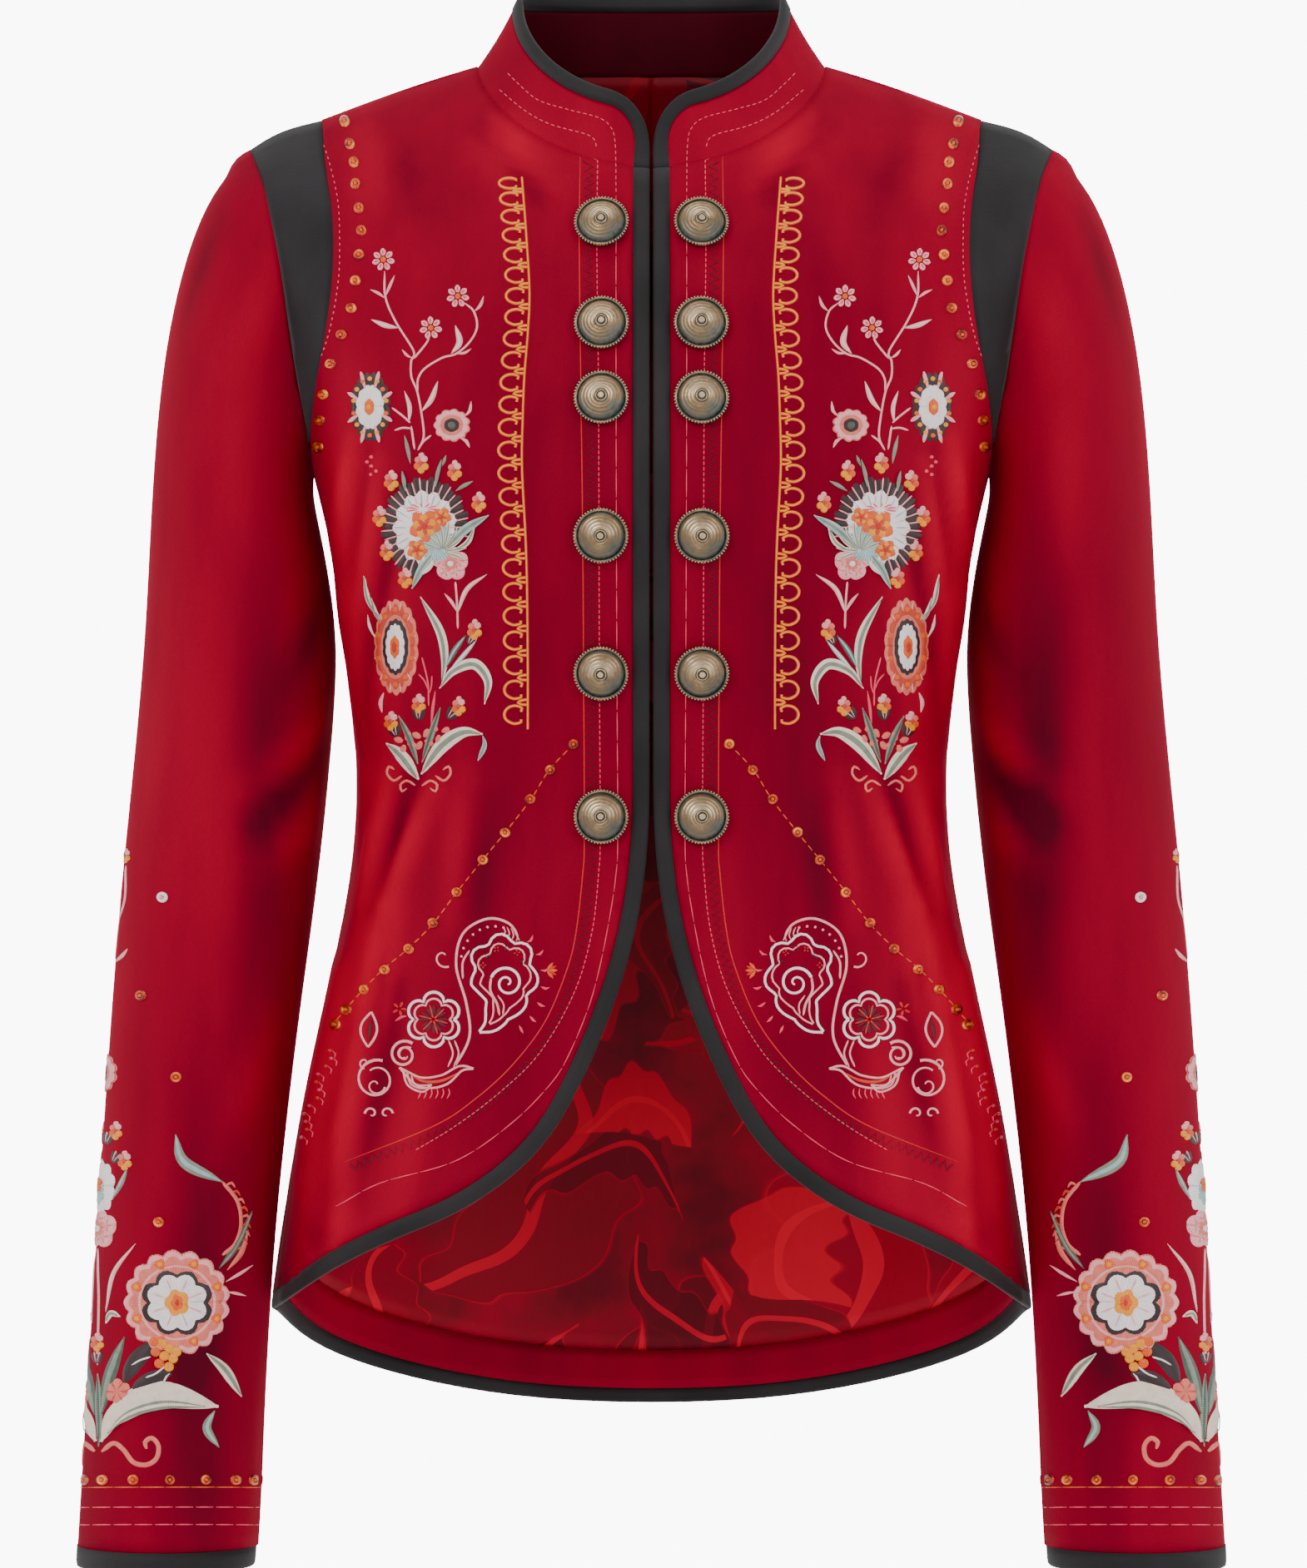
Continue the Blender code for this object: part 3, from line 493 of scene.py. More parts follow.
def noise_group():
    """Noise on object coordinates, stretched along each axis: used for nap, weave and wear."""
    made, inlet, outlet = group(
        "cloth noise",
        [("Stretch", "NodeSocketVector"), ("Scale", "NodeSocketFloat"), ("Detail", "NodeSocketFloat")],
        [("Value", "NodeSocketFloat")],
    )
    place = add_node(made, "TexCoord").outputs["Object"]
    mapping = add_node(made, "Mapping", {"Vector": place, "Scale": inlet.outputs["Stretch"]})
    texture = add_node(made, "TexNoise", {
        "Vector": mapping.outputs["Vector"],
        "Scale": inlet.outputs["Scale"],
        "Detail": inlet.outputs["Detail"],
    })
    feed(made, outlet, {"Value": texture.outputs["Fac"]})
    return made


def thread_group():
    """Satin stitches side by side: each thread lies across the shape, painted a little lighter on its crown
    as a highlight.
    """
    made, inlet, outlet = group(
        "satin threads",
        [("Color", "NodeSocketColor"), ("Deep", "NodeSocketColor")],
        [("Color", "NodeSocketColor"), ("Height", "NodeSocketFloat")],
    )
    lie = add_node(made, "UVMap").outputs["UV"]
    wave = add_node(made, "TexWave", {"Vector": lie, "Scale": 0.2, "Distortion": 0.8, "Detail": 1})
    crown = Value(made, wave.outputs["Fac"])
    # Painted highlight on each thread's crown, and painted shade between the threads
    spread = crown + noise(made, 300, (1, 1, 1), 3) - 0.42
    color = mixed(spread, inlet.outputs["Deep"], inlet.outputs["Color"])
    feed(made, outlet, {"Color": color, "Height": crown})
    return made


def noise(tree, scale, stretch=(1, 1, 1), detail=3.0):
    """Noise of a scale: less than 1 in a direction draws it out that way."""
    made = place_group(tree, NOISE, {"Stretch": stretch, "Scale": scale, "Detail": detail})
    return Value(tree, made.outputs["Value"])


NOISE = noise_group()
THREADS = thread_group()


def material(name):
    """An empty material, the node tree in it, and the shader to feed."""
    made = bpy.data.materials.new(name)
    made.use_nodes = True
    return made, made.node_tree, made.node_tree.nodes["Principled BSDF"]


def red_velvet(name, deep, middle, bright):
    """Cotton velvet: painted highlights and painted shade from its kept values, brushed nap in soft patches,
    streaks where it is crushed, and a silky sheen.
    """
    made, tree, shader = material(name)
    patches = noise(tree, 9, (1, 1, 0.45), 4)
    streaks = noise(tree, 42, (1, 1, 0.25), 3)
    pile = noise(tree, 1500, (1, 1, 1), 2)
    # The kept values paint highlights on patches and ridges and shade in troughs; the noise adds the nap's
    # own patches and streaks
    painted_light_and_tone = kept_value(tree, "painted_light_and_tone") * 0.62 + (patches * 0.22 + streaks * 0.16)
    feed(tree, shader, {
        "Base Color": ramp(painted_light_and_tone, [(0.20, deep), (0.46, middle), (0.84, bright)]),
        "Roughness": 0.7,
        "Specular IOR Level": 0.06,
        "Sheen Weight": 0.38,
        "Sheen Roughness": 0.3,
        "Sheen Tint": srgb(255, 0, 80),
        "Normal": bump(pile * 0.3 + streaks * 1.6, 0.5, 0.6 * MM),
    })
    return made


def woven(name, dark, light, roughness, threads):
    """Plain woven cloth: a fine cross weave and faint uneven shade."""
    made, tree, shader = material(name)
    warp = noise(tree, threads, (1, 1, 0.12), 1)
    weft = noise(tree, threads, (0.12, 0.12, 1), 1)
    feed(tree, shader, {
        "Base Color": ramp(noise(tree, 24, (1, 1, 1), 4), [(0.3, dark), (0.7, light)]),
        "Roughness": roughness,
        "Specular IOR Level": 0.2,
        "Sheen Weight": 0.08,
        "Sheen Roughness": 0.5,
        "Normal": bump(warp + weft, 0.35, 0.25 * MM),
    })
    return made


# A leaf of the brocade, in shares of its own half length
LEAF_BEND = 0.8
LEAF_HALF_WIDTH = 0.46
LEAF_POINT = 1.6
LEAF_LOBES = 17.0
LEAF_LOBE_DEPTH = 0.05
LEAF_EDGE = 0.04
LEAF_CRISPNESS = 22.0


def leaf_layer(tree, flat, size, offset):
    """One layer of big flowing leaves: masks of the leaf and of its edge, and its own chance value."""
    moved = vector_maths(tree, "ADD", flat, offset)
    cells = add_node(tree, "TexVoronoi", {"Vector": moved, "Scale": 0.6 / size, "Randomness": 0.7})
    away = vector_maths(tree, "SUBTRACT", moved, cells.outputs["Position"])
    side, _, up = separate(tree, "XYZ", away)
    turned, chance, _ = separate(tree, "Color", cells.outputs["Color"])
    angle = turned * 6.28
    cos, sin = maths("COSINE", angle), maths("SINE", angle)
    reach = (side * cos + up * sin) / size
    across = (up * cos - side * sin) / size
    aside = maths("ABSOLUTE", across - reach * reach * LEAF_BEND)
    swell = (1.0 - maths("POWER", maths("ABSOLUTE", reach), LEAF_POINT)) * LEAF_HALF_WIDTH
    lobes = maths("SINE", reach * LEAF_LOBES) * LEAF_LOBE_DEPTH
    inside = swell + lobes - aside
    leaf_mask = held_to(inside * LEAF_CRISPNESS, 1.0)
    edge = leaf_mask * maths("LESS_THAN", maths("MINIMUM", inside, aside), LEAF_EDGE)
    return leaf_mask, edge, chance


# The lining's layers of leaves: half length in millimetres, where the layer lies, and its reds
LeafLayer = namedtuple("LeafLayer", "size offset low high")
LEAF_LAYERS = [
    LeafLayer(84, (0.31, 0.0, 0.07), srgb(64, 0, 18), srgb(168, 0, 34)),
    LeafLayer(60, (0.12, 0.0, 0.41), srgb(96, 0, 24), srgb(206, 0, 40)),
    LeafLayer(42, (0.77, 0.0, 0.23), srgb(60, 0, 18), srgb(224, 0, 44)),
]
LEAF_SWAY = 0.07
SHADE_START = 0.49
SHADE_DEPTH = 0.68


def brocade():
    """The lining: a crimson satin ground under three layers of big flowing leaves, with painted shade that
    darkens it high up inside.
    """
    made, tree, shader = material("leaf brocade")
    place = add_node(tree, "TexCoord").outputs["Object"]
    flat = add_node(tree, "Mapping", {"Vector": place, "Scale": (1, 0.35, 1)}).outputs["Vector"]
    sway = add_node(tree, "CombineXYZ", {
        0: noise(tree, 13, (1, 1, 1), 1) * LEAF_SWAY,
        2: noise(tree, 10, (1, 1, 0.7), 1) * LEAF_SWAY,
    })
    swayed = vector_maths(tree, "ADD", flat, sway.outputs[0])
    color = ramp(noise(tree, 30, (1, 1, 1), 4), [(0.35, srgb(112, 0, 26)), (0.7, srgb(166, 0, 36))])
    for layer in LEAF_LAYERS:
        leaf_mask, edge, chance = leaf_layer(tree, swayed, layer.size * MM, layer.offset)
        shown = leaf_mask * maths("GREATER_THAN", chance, 0.26)
        color = mixed(shown * 0.85, color, ramp(chance, [(0.35, layer.low), (0.8, layer.high)]))
        color = mixed(shown * edge * 0.6, color, srgb(246, 0, 50))
    # Painted shade: the lining's colour darkens high up inside, where shade falls
    height = separate(tree, "XYZ", place)[2]
    painted_shade_high_up = held_to((height + SHADE_START) * 5.0, SHADE_DEPTH)
    feed(tree, shader, {
        "Base Color": mixed(painted_shade_high_up, color, srgb(34, 0, 10)),
        "Roughness": 0.5,
        "Specular IOR Level": 0.12,
        "Normal": bump(noise(tree, 1300, (1, 1, 0.15), 1), 0.3, 0.25 * MM),
    })
    return made


def antique_brass(name, dark, tarnish, middle, bright):
    """Brass rubbed bright where it stands up, grey where it is tarnished and dark in the grooves, with
    painted light: one side of each dome lighter, and the dome darker towards its rim.
    """
    made, tree, shader = material(name)
    grime = noise(tree, 520, (1, 1, 1), 3)
    mask = kept_value(tree, "wear_and_painted_light") + (grime - 0.5) * 0.3
    feed(tree, shader, {
        "Base Color": ramp(mask, [(0.06, dark), (0.28, tarnish), (0.50, middle), (0.86, bright)]),
        "Roughness": ramp(mask, [(0.1, grey(0.6)), (0.6, grey(0.3))]),
        "Metallic": 0.9,
        "Normal": bump(grime, 0.10, 0.1 * MM),
    })
    return made


def thread(name, color, deep):
    """Silk embroidery thread of one colour, with a deeper tone painted between the stitches as shade."""
    made, tree, shader = material(name + " thread")
    stitches = place_group(tree, THREADS, {"Color": srgb(*color), "Deep": srgb(*deep)})
    feed(tree, shader, {
        "Base Color": stitches.outputs["Color"],
        "Roughness": 0.4,
        "Specular IOR Level": 0.5,
        "Sheen Weight": 0.5,
        "Sheen Roughness": 0.5,
        "Sheen Tint": srgb(*color),
        "Normal": bump(Value(tree, stitches.outputs["Height"]), 0.6, 0.12 * MM),
    })
    return made


def sequin_foil():
    """Copper-orange foil with a faint uneven gleam."""
    made, tree, shader = material("sequin foil")
    shade = noise(tree, 160, (1, 1, 1), 2)
    coppers = [(0.35, srgb(120, 26, 8)), (0.5, srgb(206, 74, 20)), (0.66, srgb(246, 150, 60))]
    feed(tree, shader, {
        "Base Color": ramp(shade, coppers),
        "Roughness": ramp(shade, [(0.3, grey(0.2)), (0.7, grey(0.4))]),
        "Metallic": 0.6,
        "Coat Weight": 0.4,
        "Normal": bump(shade, 0.2, 0.1 * MM),
    })
    return made


VELVET = red_velvet("red velvet", srgb(84, 0, 26), srgb(152, 0, 37), srgb(188, 0, 43))
# The collar's inside: the same velvet painted darker as shade
VELVET_PAINTED_SHADE = red_velvet("red velvet painted dark as shade", srgb(44, 0, 12), srgb(74, 0, 18), srgb(110, 0, 28))
BLACK_CLOTH = woven("black cloth", srgb(27, 25, 27), srgb(42, 39, 41), 0.8, 1500)
BLACK_BINDING = woven("black binding", srgb(24, 22, 23), srgb(38, 35, 36), 0.6, 1900)
LINING = brocade()
BRASS = antique_brass(
    "antique brass", (0.008, 0.014, 0.011), (0.11, 0.115, 0.10), (0.25, 0.16, 0.082), (0.66, 0.49, 0.31)
)
GILT = antique_brass(
    "rubbed gilt", (0.05, 0.03, 0.012), (0.24, 0.16, 0.07), (0.56, 0.37, 0.13), (0.98, 0.76, 0.36)
)
THREAD = {
    "blush": thread("blush", (255, 196, 198), (244, 88, 108)),
    "pink": thread("pink", (255, 84, 116), (226, 24, 62)),
    "white": thread("white", (255, 255, 253), (238, 202, 208)),
    "cream": thread("cream", (255, 242, 224), (214, 178, 156)),
    "sage": thread("sage", (150, 160, 138), (80, 90, 76)),
    "sea": thread("sea", (182, 214, 210), (98, 132, 134)),
    "moss": thread("moss", (82, 104, 90), (42, 56, 50)),
    "brown": thread("brown", (52, 26, 28), (24, 10, 14)),
    "salmon": thread("salmon", (248, 132, 112), (206, 70, 62)),
    "coral": thread("coral", (228, 74, 44), (170, 34, 24)),
    "flame": thread("flame", (222, 32, 2), (166, 10, 2)),
    "orange": thread("orange", (252, 112, 0), (206, 44, 0)),
    "yellow": thread("yellow", (255, 180, 8), (236, 96, 0)),
    "wine": thread("wine", (80, 0, 16), (46, 0, 10)),
    "red": thread("red", (220, 8, 36), (160, 0, 20)),
    "foil": sequin_foil(),
}
THREAD_ORDER = list(THREAD)


# Cloth pieces: sizes are what each is cut to where it shows, in metres and square metres
Cloth = namedtuple("Cloth", "node name levels drape held flat area lined")
MIDDLE_CLOTHS = [
    Cloth("collar", "stand_collar", 2, drape_body, "stretched", (0.42, 0.055), 0.013, False),
    Cloth("back_facing", "hem_facing", 2, drape_body, "stretched", (0.46, 0.022), 0.0079, False),
    Cloth("back_lining", "lining", 2, drape_body, "stretched", (0.42, 0.46), 0.144, False),
    Cloth("collar_binding", "collar_edge", 1, drape_body, "stretched", (0.43, 0.011), 0.0042, False),
    Cloth("back_binding", "back_hem_edge", 1, drape_body, "stretched", (0.50, 0.011), 0.0049, False),
]
SIDE_CLOTHS = [
    Cloth("front", "front", 2, drape_body, "stretched", (0.23, 0.58), 0.091, True),
    Cloth("back", "back", 2, drape_body, "stretched", (0.26, 0.64), 0.119, True),
    Cloth("top_sleeve", "top_sleeve", 2, drape_sleeve, "hung", (0.20, 0.65), 0.111, True),
    Cloth("under_sleeve", "under_sleeve", 2, drape_sleeve, "hung", (0.11, 0.59), 0.049, True),
    Cloth("armhole_panel", "shoulder_panel", 2, drape_body, "stretched", (0.05, 0.33), 0.010, False),
    Cloth("front_binding", "front_edge", 1, drape_body, "stretched", (0.64, 0.011), 0.0064, False),
    Cloth("cuff_binding", "cuff_edge", 1, drape_sleeve, "stretched", (0.25, 0.012), 0.0029, False),
]
CLOTHS = MIDDLE_CLOTHS + [
    cloth._replace(node=f"{cloth.node}_{side}", name=f"{side}_{cloth.name}")
    for side in ("left", "right")
    for cloth in SIDE_CLOTHS
]
FINISH = {
    "red_velvet": VELVET,
    "red_lining": LINING,
    "black_cloth": BLACK_CLOTH,
    "black_binding": BLACK_BINDING,
    "antique_brass": BRASS,
}
SLOT = {part["node"]: part["material_slot"] for part in frame["record"]["subparts"]}


def dress(obj, slot, *nodes):
    """Gives a finished piece its slot's material and its body, and hides what it stands for."""
    obj.data.materials.clear()
    obj.data.materials.append(FINISH[slot])
    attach(obj, "root")
    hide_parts(*nodes)


def make_cloth():
    made = {}
    for cloth in CLOTHS:
        shell = cloth_shell(cloth.node, cloth.name, cloth.levels)
        on_body = cloth.drape is drape_body
        sheen = body_painted_sheen if on_body else sleeve_painted_sheen
        # Painted sheen and painted shade for the velvet's colour, from the patches and the creases
        keep_values(shell.data, "painted_light_and_tone", sheen(places_of(shell.data)))
        move_points(shell, cloth.drape)
        dress(shell, SLOT[cloth.node], cloth.node)
        if cloth.lined:
            line_inside(shell, body_outward if on_body else sleeve_outward, LINING)
        made[cloth.name] = shell
    # The collar's inner faces get the velvet painted darker as shade
    line_inside(made["stand_collar"], body_outward, VELVET_PAINTED_SHADE)
    return made


# Buttons: rings from the rim to the middle, each a step inwards and a rise, in millimetres
GROOVE = [(0.12, -0.1), (0.12, 0.1)]
RIM_RINGS = [(0.35, 0.5), (0.55, 0.1), (0.30, -0.5), (0.40, 0.0), (0.20, 0.45), (0.90, 0.75)]
DOME_RINGS = [(1.20, 0.75), *GROOVE, (1.40, 0.62), *GROOVE, (1.40, 0.42), *GROOVE, (1.30, 0.22)]
KNOB_RINGS = [
    (0.20, -0.3), (0.35, 0.0), (0.20, 0.5), (0.30, 0.0), (0.15, -0.3), (0.30, 0.0), (0.25, 0.8), (0.40, 0.3)
]
BUTTON_SIDES = 56
BUTTON_RADIUS = 11.9 * MM
BUTTON_BACK = 1.3 * MM
BEADS = 52
BEAD_RADIUS = 0.62 * MM
BEAD_INSET = 0.2 * MM
BEAD_RISE = 0.25 * MM
GILT_RADIUS = 2.7 * MM

# How bright the brass is, from 0 to 1, at distances in millimetres from the middle: rubbed bright on the
# knob and beads; on the dome the fall towards the rim is partly tarnish and partly painted shade
KNOB_WEAR = [(1.2, 0.95), (1.6, 0.15), (2.0, 0.15), (2.2, 0.85), (2.5, 0.80), (2.7, 0.12), (3.0, 0.20)]
DOME_WEAR_AND_PAINTED_SHADE = [
    (3.2, 0.72), (4.5, 0.66), (4.6, 0.40), (4.7, 0.66), (6.1, 0.60), (6.2, 0.36), (6.4, 0.58),
    (7.7, 0.52), (7.9, 0.30), (8.0, 0.50), (9.2, 0.40), (10.2, 0.26)
]
RIM_WEAR = [(10.4, 0.02), (10.8, 0.02), (11.0, 0.45), (11.5, 0.90), (12.5, 1.00)]
KNOB_EDGE = 3.0
RIM_EDGE = 11.1


def button_wear_and_painted_light(points):
    """How bright a button's brass is: painted light makes one side of the dome lighter, and the beads'
    crowns are rubbed bright.
    """
    reach = np.hypot(points[:, 0], points[:, 1]) / MM
    turn = np.arctan2(points[:, 1], points[:, 0])
    # Painted light: one side of the dome is lighter, as if lit from there
    dome = 1 + 0.28 * np.cos(turn - 1.9) + 0.14 * np.cos(3 * turn - 1.3)
    rim = 0.3 + 0.7 * np.maximum(np.cos(BEADS * turn), 0)
    uneven = np.where(reach > RIM_EDGE, rim, np.where(reach > KNOB_EDGE, dome, 1))
    return uneven * np.interp(reach, *zip(*KNOB_WEAR, *DOME_WEAR_AND_PAINTED_SHADE, *RIM_WEAR))


def button_pattern():
    """One button, face up at the origin: grooved rings inset in turn, a knob, and a rim of beads."""
    deselect_all()
    bpy.ops.mesh.primitive_circle_add(vertices=BUTTON_SIDES, radius=BUTTON_RADIUS, fill_type="NGON")
    button = bpy.context.object
    bpy.ops.object.mode_set(mode="EDIT")
    bpy.ops.mesh.select_all(action="SELECT")
    bpy.ops.mesh.extrude_region_move(TRANSFORM_OT_translate={"value": (0, 0, BUTTON_BACK)})
    for inwards, rise in RIM_RINGS + DOME_RINGS + KNOB_RINGS:
        bpy.ops.mesh.inset(thickness=inwards * MM, depth=rise * MM)
    bpy.ops.object.mode_set(mode="OBJECT")
    shape = bmesh.new()
    shape.from_mesh(button.data)
    reach = BUTTON_RADIUS - BEAD_INSET
    for k in range(BEADS):
        angle = 2 * math.pi * k / BEADS
        place = Matrix.Translation(
            (reach * math.cos(angle), reach * math.sin(angle), BUTTON_BACK + BEAD_RISE)
        )
        bmesh.ops.create_uvsphere(shape, u_segments=8, v_segments=5, radius=BEAD_RADIUS, matrix=place)
    bmesh.ops.recalc_face_normals(shape, faces=shape.faces)
    for face in shape.faces:
        face.smooth = len(face.verts) < 5
        face.material_index = int(face.calc_center_median().xy.length < GILT_RADIUS)
    shape.to_mesh(button.data)
    shape.free()
    keep_values(button.data, "wear_and_painted_light", button_wear_and_painted_light(places_of(button.data)))
    return button


# Points further out than this share of a button's radius are on its rim
RIM_SHARE = 0.98


def button_seat(name):
    """Where a button's CAD node sits: the middle of its back plate, and the way that it faces."""
    points = places_of(frame["nodes"][name].data)
    middle = points.mean(axis=0)
    _, _, ways = np.linalg.svd(points - middle)
    out = Vector(ways[2])
    if out.y > 0:
        out.negate()
    heights = (points - middle) @ np.array(out)
    radii = np.linalg.norm(points - middle - heights[:, None] * np.array(out), axis=1)
    back = heights[radii > radii.max() * RIM_SHARE].min()
    return Vector(middle) + out * back, out


def make_buttons():
    pattern = button_pattern()
    for side in ("left", "right"):
        for number in range(1, 7):
            seat, out = button_seat(f"button_{side}_{number}")
            seat += Vector(drape_body(np.array([seat]))[0])
            turn = out.to_track_quat("Z", "Y").to_matrix().to_4x4()
            button = new_object(f"{side}_button_{number}", pattern.data.copy())
            button.data.transform(Matrix.Translation(seat) @ turn)
            dress(button, "antique_brass", f"button_{side}_{number}")
            button.data.materials.append(GILT)
    bpy.data.objects.remove(pattern)


# Embroidery: drawn flat, as the photo shows the wearer's right side, in photo pixels across and down.
# Heights are in millimetres off the cloth. Each drawing is laid on the cloth, and mirrored to the left.

ACROSS = np.array([-1.0, -0.62, 0.0, 0.62, 1.0])
CROWN = np.array([-0.25, 0.75, 1.0, 0.75, -0.25])


class Drawing:
    """Rows of raised places, joined into faces, each with a thread and the way its stitches lie."""

    def __init__(self):
        self.places, self.heights, self.lies, self.faces, self.threads = [], [], [], [], []
        self.count = 0

    def add(self, places, heights, lies, thread, closed=False):
        rows, columns = heights.shape
        index = self.count + np.arange(rows * columns).reshape(rows, columns)
        after = np.roll(index, -1, axis=0) if closed else index[1:]
        before = index if closed else index[:-1]
        quads = np.stack([before[:, :-1], before[:, 1:], after[:, 1:], after[:, :-1]], axis=-1)
        self.places.append(places.reshape(-1, 2))
        self.heights.append(heights.ravel())
        self.lies.append(lies.reshape(-1, 2))
        self.faces.append(quads.reshape(-1, 4))
        self.threads.append(np.full(quads.shape[0] * quads.shape[1], THREAD_ORDER.index(thread)))
        self.count += rows * columns


def curve(points, step=3.0):
    """A smooth line through the points, in steps of so many pixels."""
    points = np.array(points, float)
    ends = np.vstack([2 * points[0] - points[1], points, 2 * points[-1] - points[-2]])
    line = []
    for a, b, c, d in zip(ends, ends[1:], ends[2:], ends[3:]):
        count = max(int(np.linalg.norm(c - b) / step), 1)
        for k in range(count):
            t = k / count
            bend = (2 * a - 5 * b + 4 * c - d) * t * t + (3 * b - a - 3 * c + d) * t**3
            line.append(0.5 * (2 * b + (c - a) * t + bend))
    line.append(points[-1])
    return np.array(line)


def lengths(line):
    """How far along a line each of its places lies."""
    steps = np.linalg.norm(np.diff(line, axis=0), axis=1)
    return np.concatenate([[0], np.cumsum(steps)])


def spine_of(points):
    """A smooth line through the points, and how far along it its places lie, from 0 to 1."""
    line = curve(points)
    along = lengths(line)
    return line, along / along[-1]


def places_on(line, at):
    """Places at distances along a line."""
    along = lengths(line)
    return np.stack([np.interp(at, along, line[:, k]) for k in (0, 1)], axis=-1)


def ways_of(line):
    """The direction of a line at each of its places, and the direction across it."""
    ways = unit(np.gradient(line, axis=0))
    return ways, np.stack([-ways[:, 1], ways[:, 0]], axis=1)


def ways_at(angles):
    """Directions in the drawing, at angles in radians, turning from across to down."""
    return np.stack([np.cos(angles), np.sin(angles)], axis=-1)


def around(center, degrees, reach, scale=(1, 1)):
    """A place round a middle, at an angle and a distance."""
    return np.array(center, float) + ways_at(math.radians(degrees)) * scale * reach


def satin(work, line, widths, thread, height=0.45, lift=0.0):
    """Satin stitch along a line, so many pixels wide to each side."""
    _, aside = ways_of(line)
    widths = np.broadcast_to(widths, len(line)).astype(float)
    places = line[:, None] + aside[:, None] * (ACROSS[None, :, None] * widths[:, None, None])
    full = 0.45 + 0.55 * widths / (widths.max() + 1e-9)
    heights = lift + height * CROWN[None] * full[:, None]
    lies = np.stack(np.broadcast_arrays(lengths(line)[:, None], ACROSS[None] * widths[:, None]), axis=-1)
    work.add(places, heights, lies, thread)


def stem(work, points, thread="blush", width=1.4, height=0.4, lift=0.0):
    """A thin line that tapers at both ends."""
    line, share = spine_of(points)
    widths = width * np.clip(np.minimum(share, 1 - share) * 12 + 0.4, 0.4, 1)
    satin(work, line, widths, thread, height, lift)


def leaf(work, points, width, thread="cream", vein=None, height=0.55, lift=0.0, full=0.8):
    """A leaf round its spine, with a vein of another thread if one is given."""
    line, share = spine_of(points)
    widths = width * np.sin(np.pi * np.clip(share, 0.02, 0.98)) ** full
    satin(work, line, widths, thread, height, lift)
    if vein:
        satin(work, line[1:-1], widths[1:-1] * 0.42, vein, 0.3, lift + height * 0.72)


PETAL = np.array([0.35, 0.7, 0.95, 1.0, 0.85, 0.3])


def petals(work, center, count, inner, outer, width, thread, scale=(1, 1), turn=0.0, height=0.5, lift=0.0):
    """Petals set round a middle, each swelling towards its tip."""
    reach = np.linspace(inner, outer, len(PETAL))[:, None]
    for k in range(count):
        line = around(center, turn + 360 * k / count, reach, scale)
        satin(work, line, width * PETAL, thread, height, lift)


def bloom(work, center, scale, inner, outer, thread, lobes=12, depth=0.08, height=0.6, lift=0.0, turn=0.0):
    """A disc or ring of satin stitch with a scalloped edge."""
    count = max(lobes * 6, 24)
    angles = math.radians(turn) + np.linspace(0, 2 * np.pi, count, endpoint=False)
    shares = np.array([0.0, 0.15, 0.5, 0.85, 1.0])
    crown = np.array([-0.2 if inner else 1.0, 0.8 if inner else 1.0, 1.0, 0.8, -0.2])
    swell = 1 + depth * (np.abs(np.sin(lobes * angles / 2)) - 0.6)
    reach = inner + (outer * swell[:, None] - inner) * shares[None]
    places = np.array(center) + reach[:, :, None] * ways_at(angles)[:, None] * scale
    heights = np.broadcast_to(lift + height * crown, (count, 5))
    lies = np.stack(np.broadcast_arrays(angles[:, None] * (inner + outer) / 2, reach), axis=-1)
    work.add(places, heights, lies, thread, closed=True)


def knot(work, center, radius, thread, height=0.6, lift=0.0):
    bloom(work, center, (1, 1), 0, radius, thread, lobes=2, depth=0.0, height=height, lift=lift)


def running(work, points, thread, stitch=9.0, gap=5.0, width=0.9, height=0.35):
    """A line of running stitches."""
    line = curve(points, 1.5)
    end = lengths(line)[-1]
    start = 0.0
    while start + stitch < end:
        piece = places_on(line, np.linspace(start, start + stitch, 4))
        satin(work, piece, width * np.array([0.5, 1, 1, 0.5]), thread, height)
        start += stitch + gap


def zigzag(work, points, reach, pitch, thread, width=0.7):
    """A zigzag seam stitch along a line."""
    line = curve(points, 1.5)
    middle = places_on(line, np.arange(0, lengths(line)[-1], pitch))
    _, aside = ways_of(middle)
    signs = np.where(np.arange(len(middle)) % 2, 1, -1)[:, None]
    satin(work, middle + aside * signs * reach, width, thread, 0.3)


def sequin(work, x, y, thread="foil"):
    """A cupped foil disc with a hole, held by a bead."""
    bloom(work, (x, y), (1, 1), 2.4, 6.4, thread, lobes=4, depth=0.0, height=0.7, lift=0.2)
    knot(work, (x, y), 2.2, "orange" if thread == "foil" else "blush", 0.9, 0.1)


FLORET = [
    (-4, 4, 5.0, "orange", 0.7, 0.0),
    (4.5, 4.5, 4.6, "yellow", 0.8, 0.0),
    (0, 9, 4.2, "yellow", 0.7, 0.1),
    (3.5, -4.5, 4.4, "blush", 0.75, 0.0),
    (-3.5, -3.5, 4.2, "salmon", 0.8, 0.1),
    (0.5, -9, 3.4, "blush", 0.7, 0.0),
    (0, 0, 2.6, "coral", 0.6, 0.5),
]


def floret(work, x, y, size=1.0):
    """A small bud: yellow and orange knots below, blush ones above."""
    for across, down, radius, thread, height, lift in FLORET:
        knot(work, (x + across * size, y + down * size), radius * size, thread, height, lift)


def dark_buds(work, x, y, angle, size=1.0):
    """Three dark sepals that fan out below a bud, with pale stitches between."""
    for turn in (-24, 0, 24):
        a, b = [around((x, y), angle + turn, reach) for reach in (2, 17 * size)]
        leaf(work, [a, (a + b) / 2, b], 3.6 * size, "brown", full=0.5)
    for turn in (-12, 12):
        ends = [around((x, y), angle + turn, reach) for reach in (4, 18 * size)]
        stem(work, ends, "blush", 0.9, 0.5, 0.1)


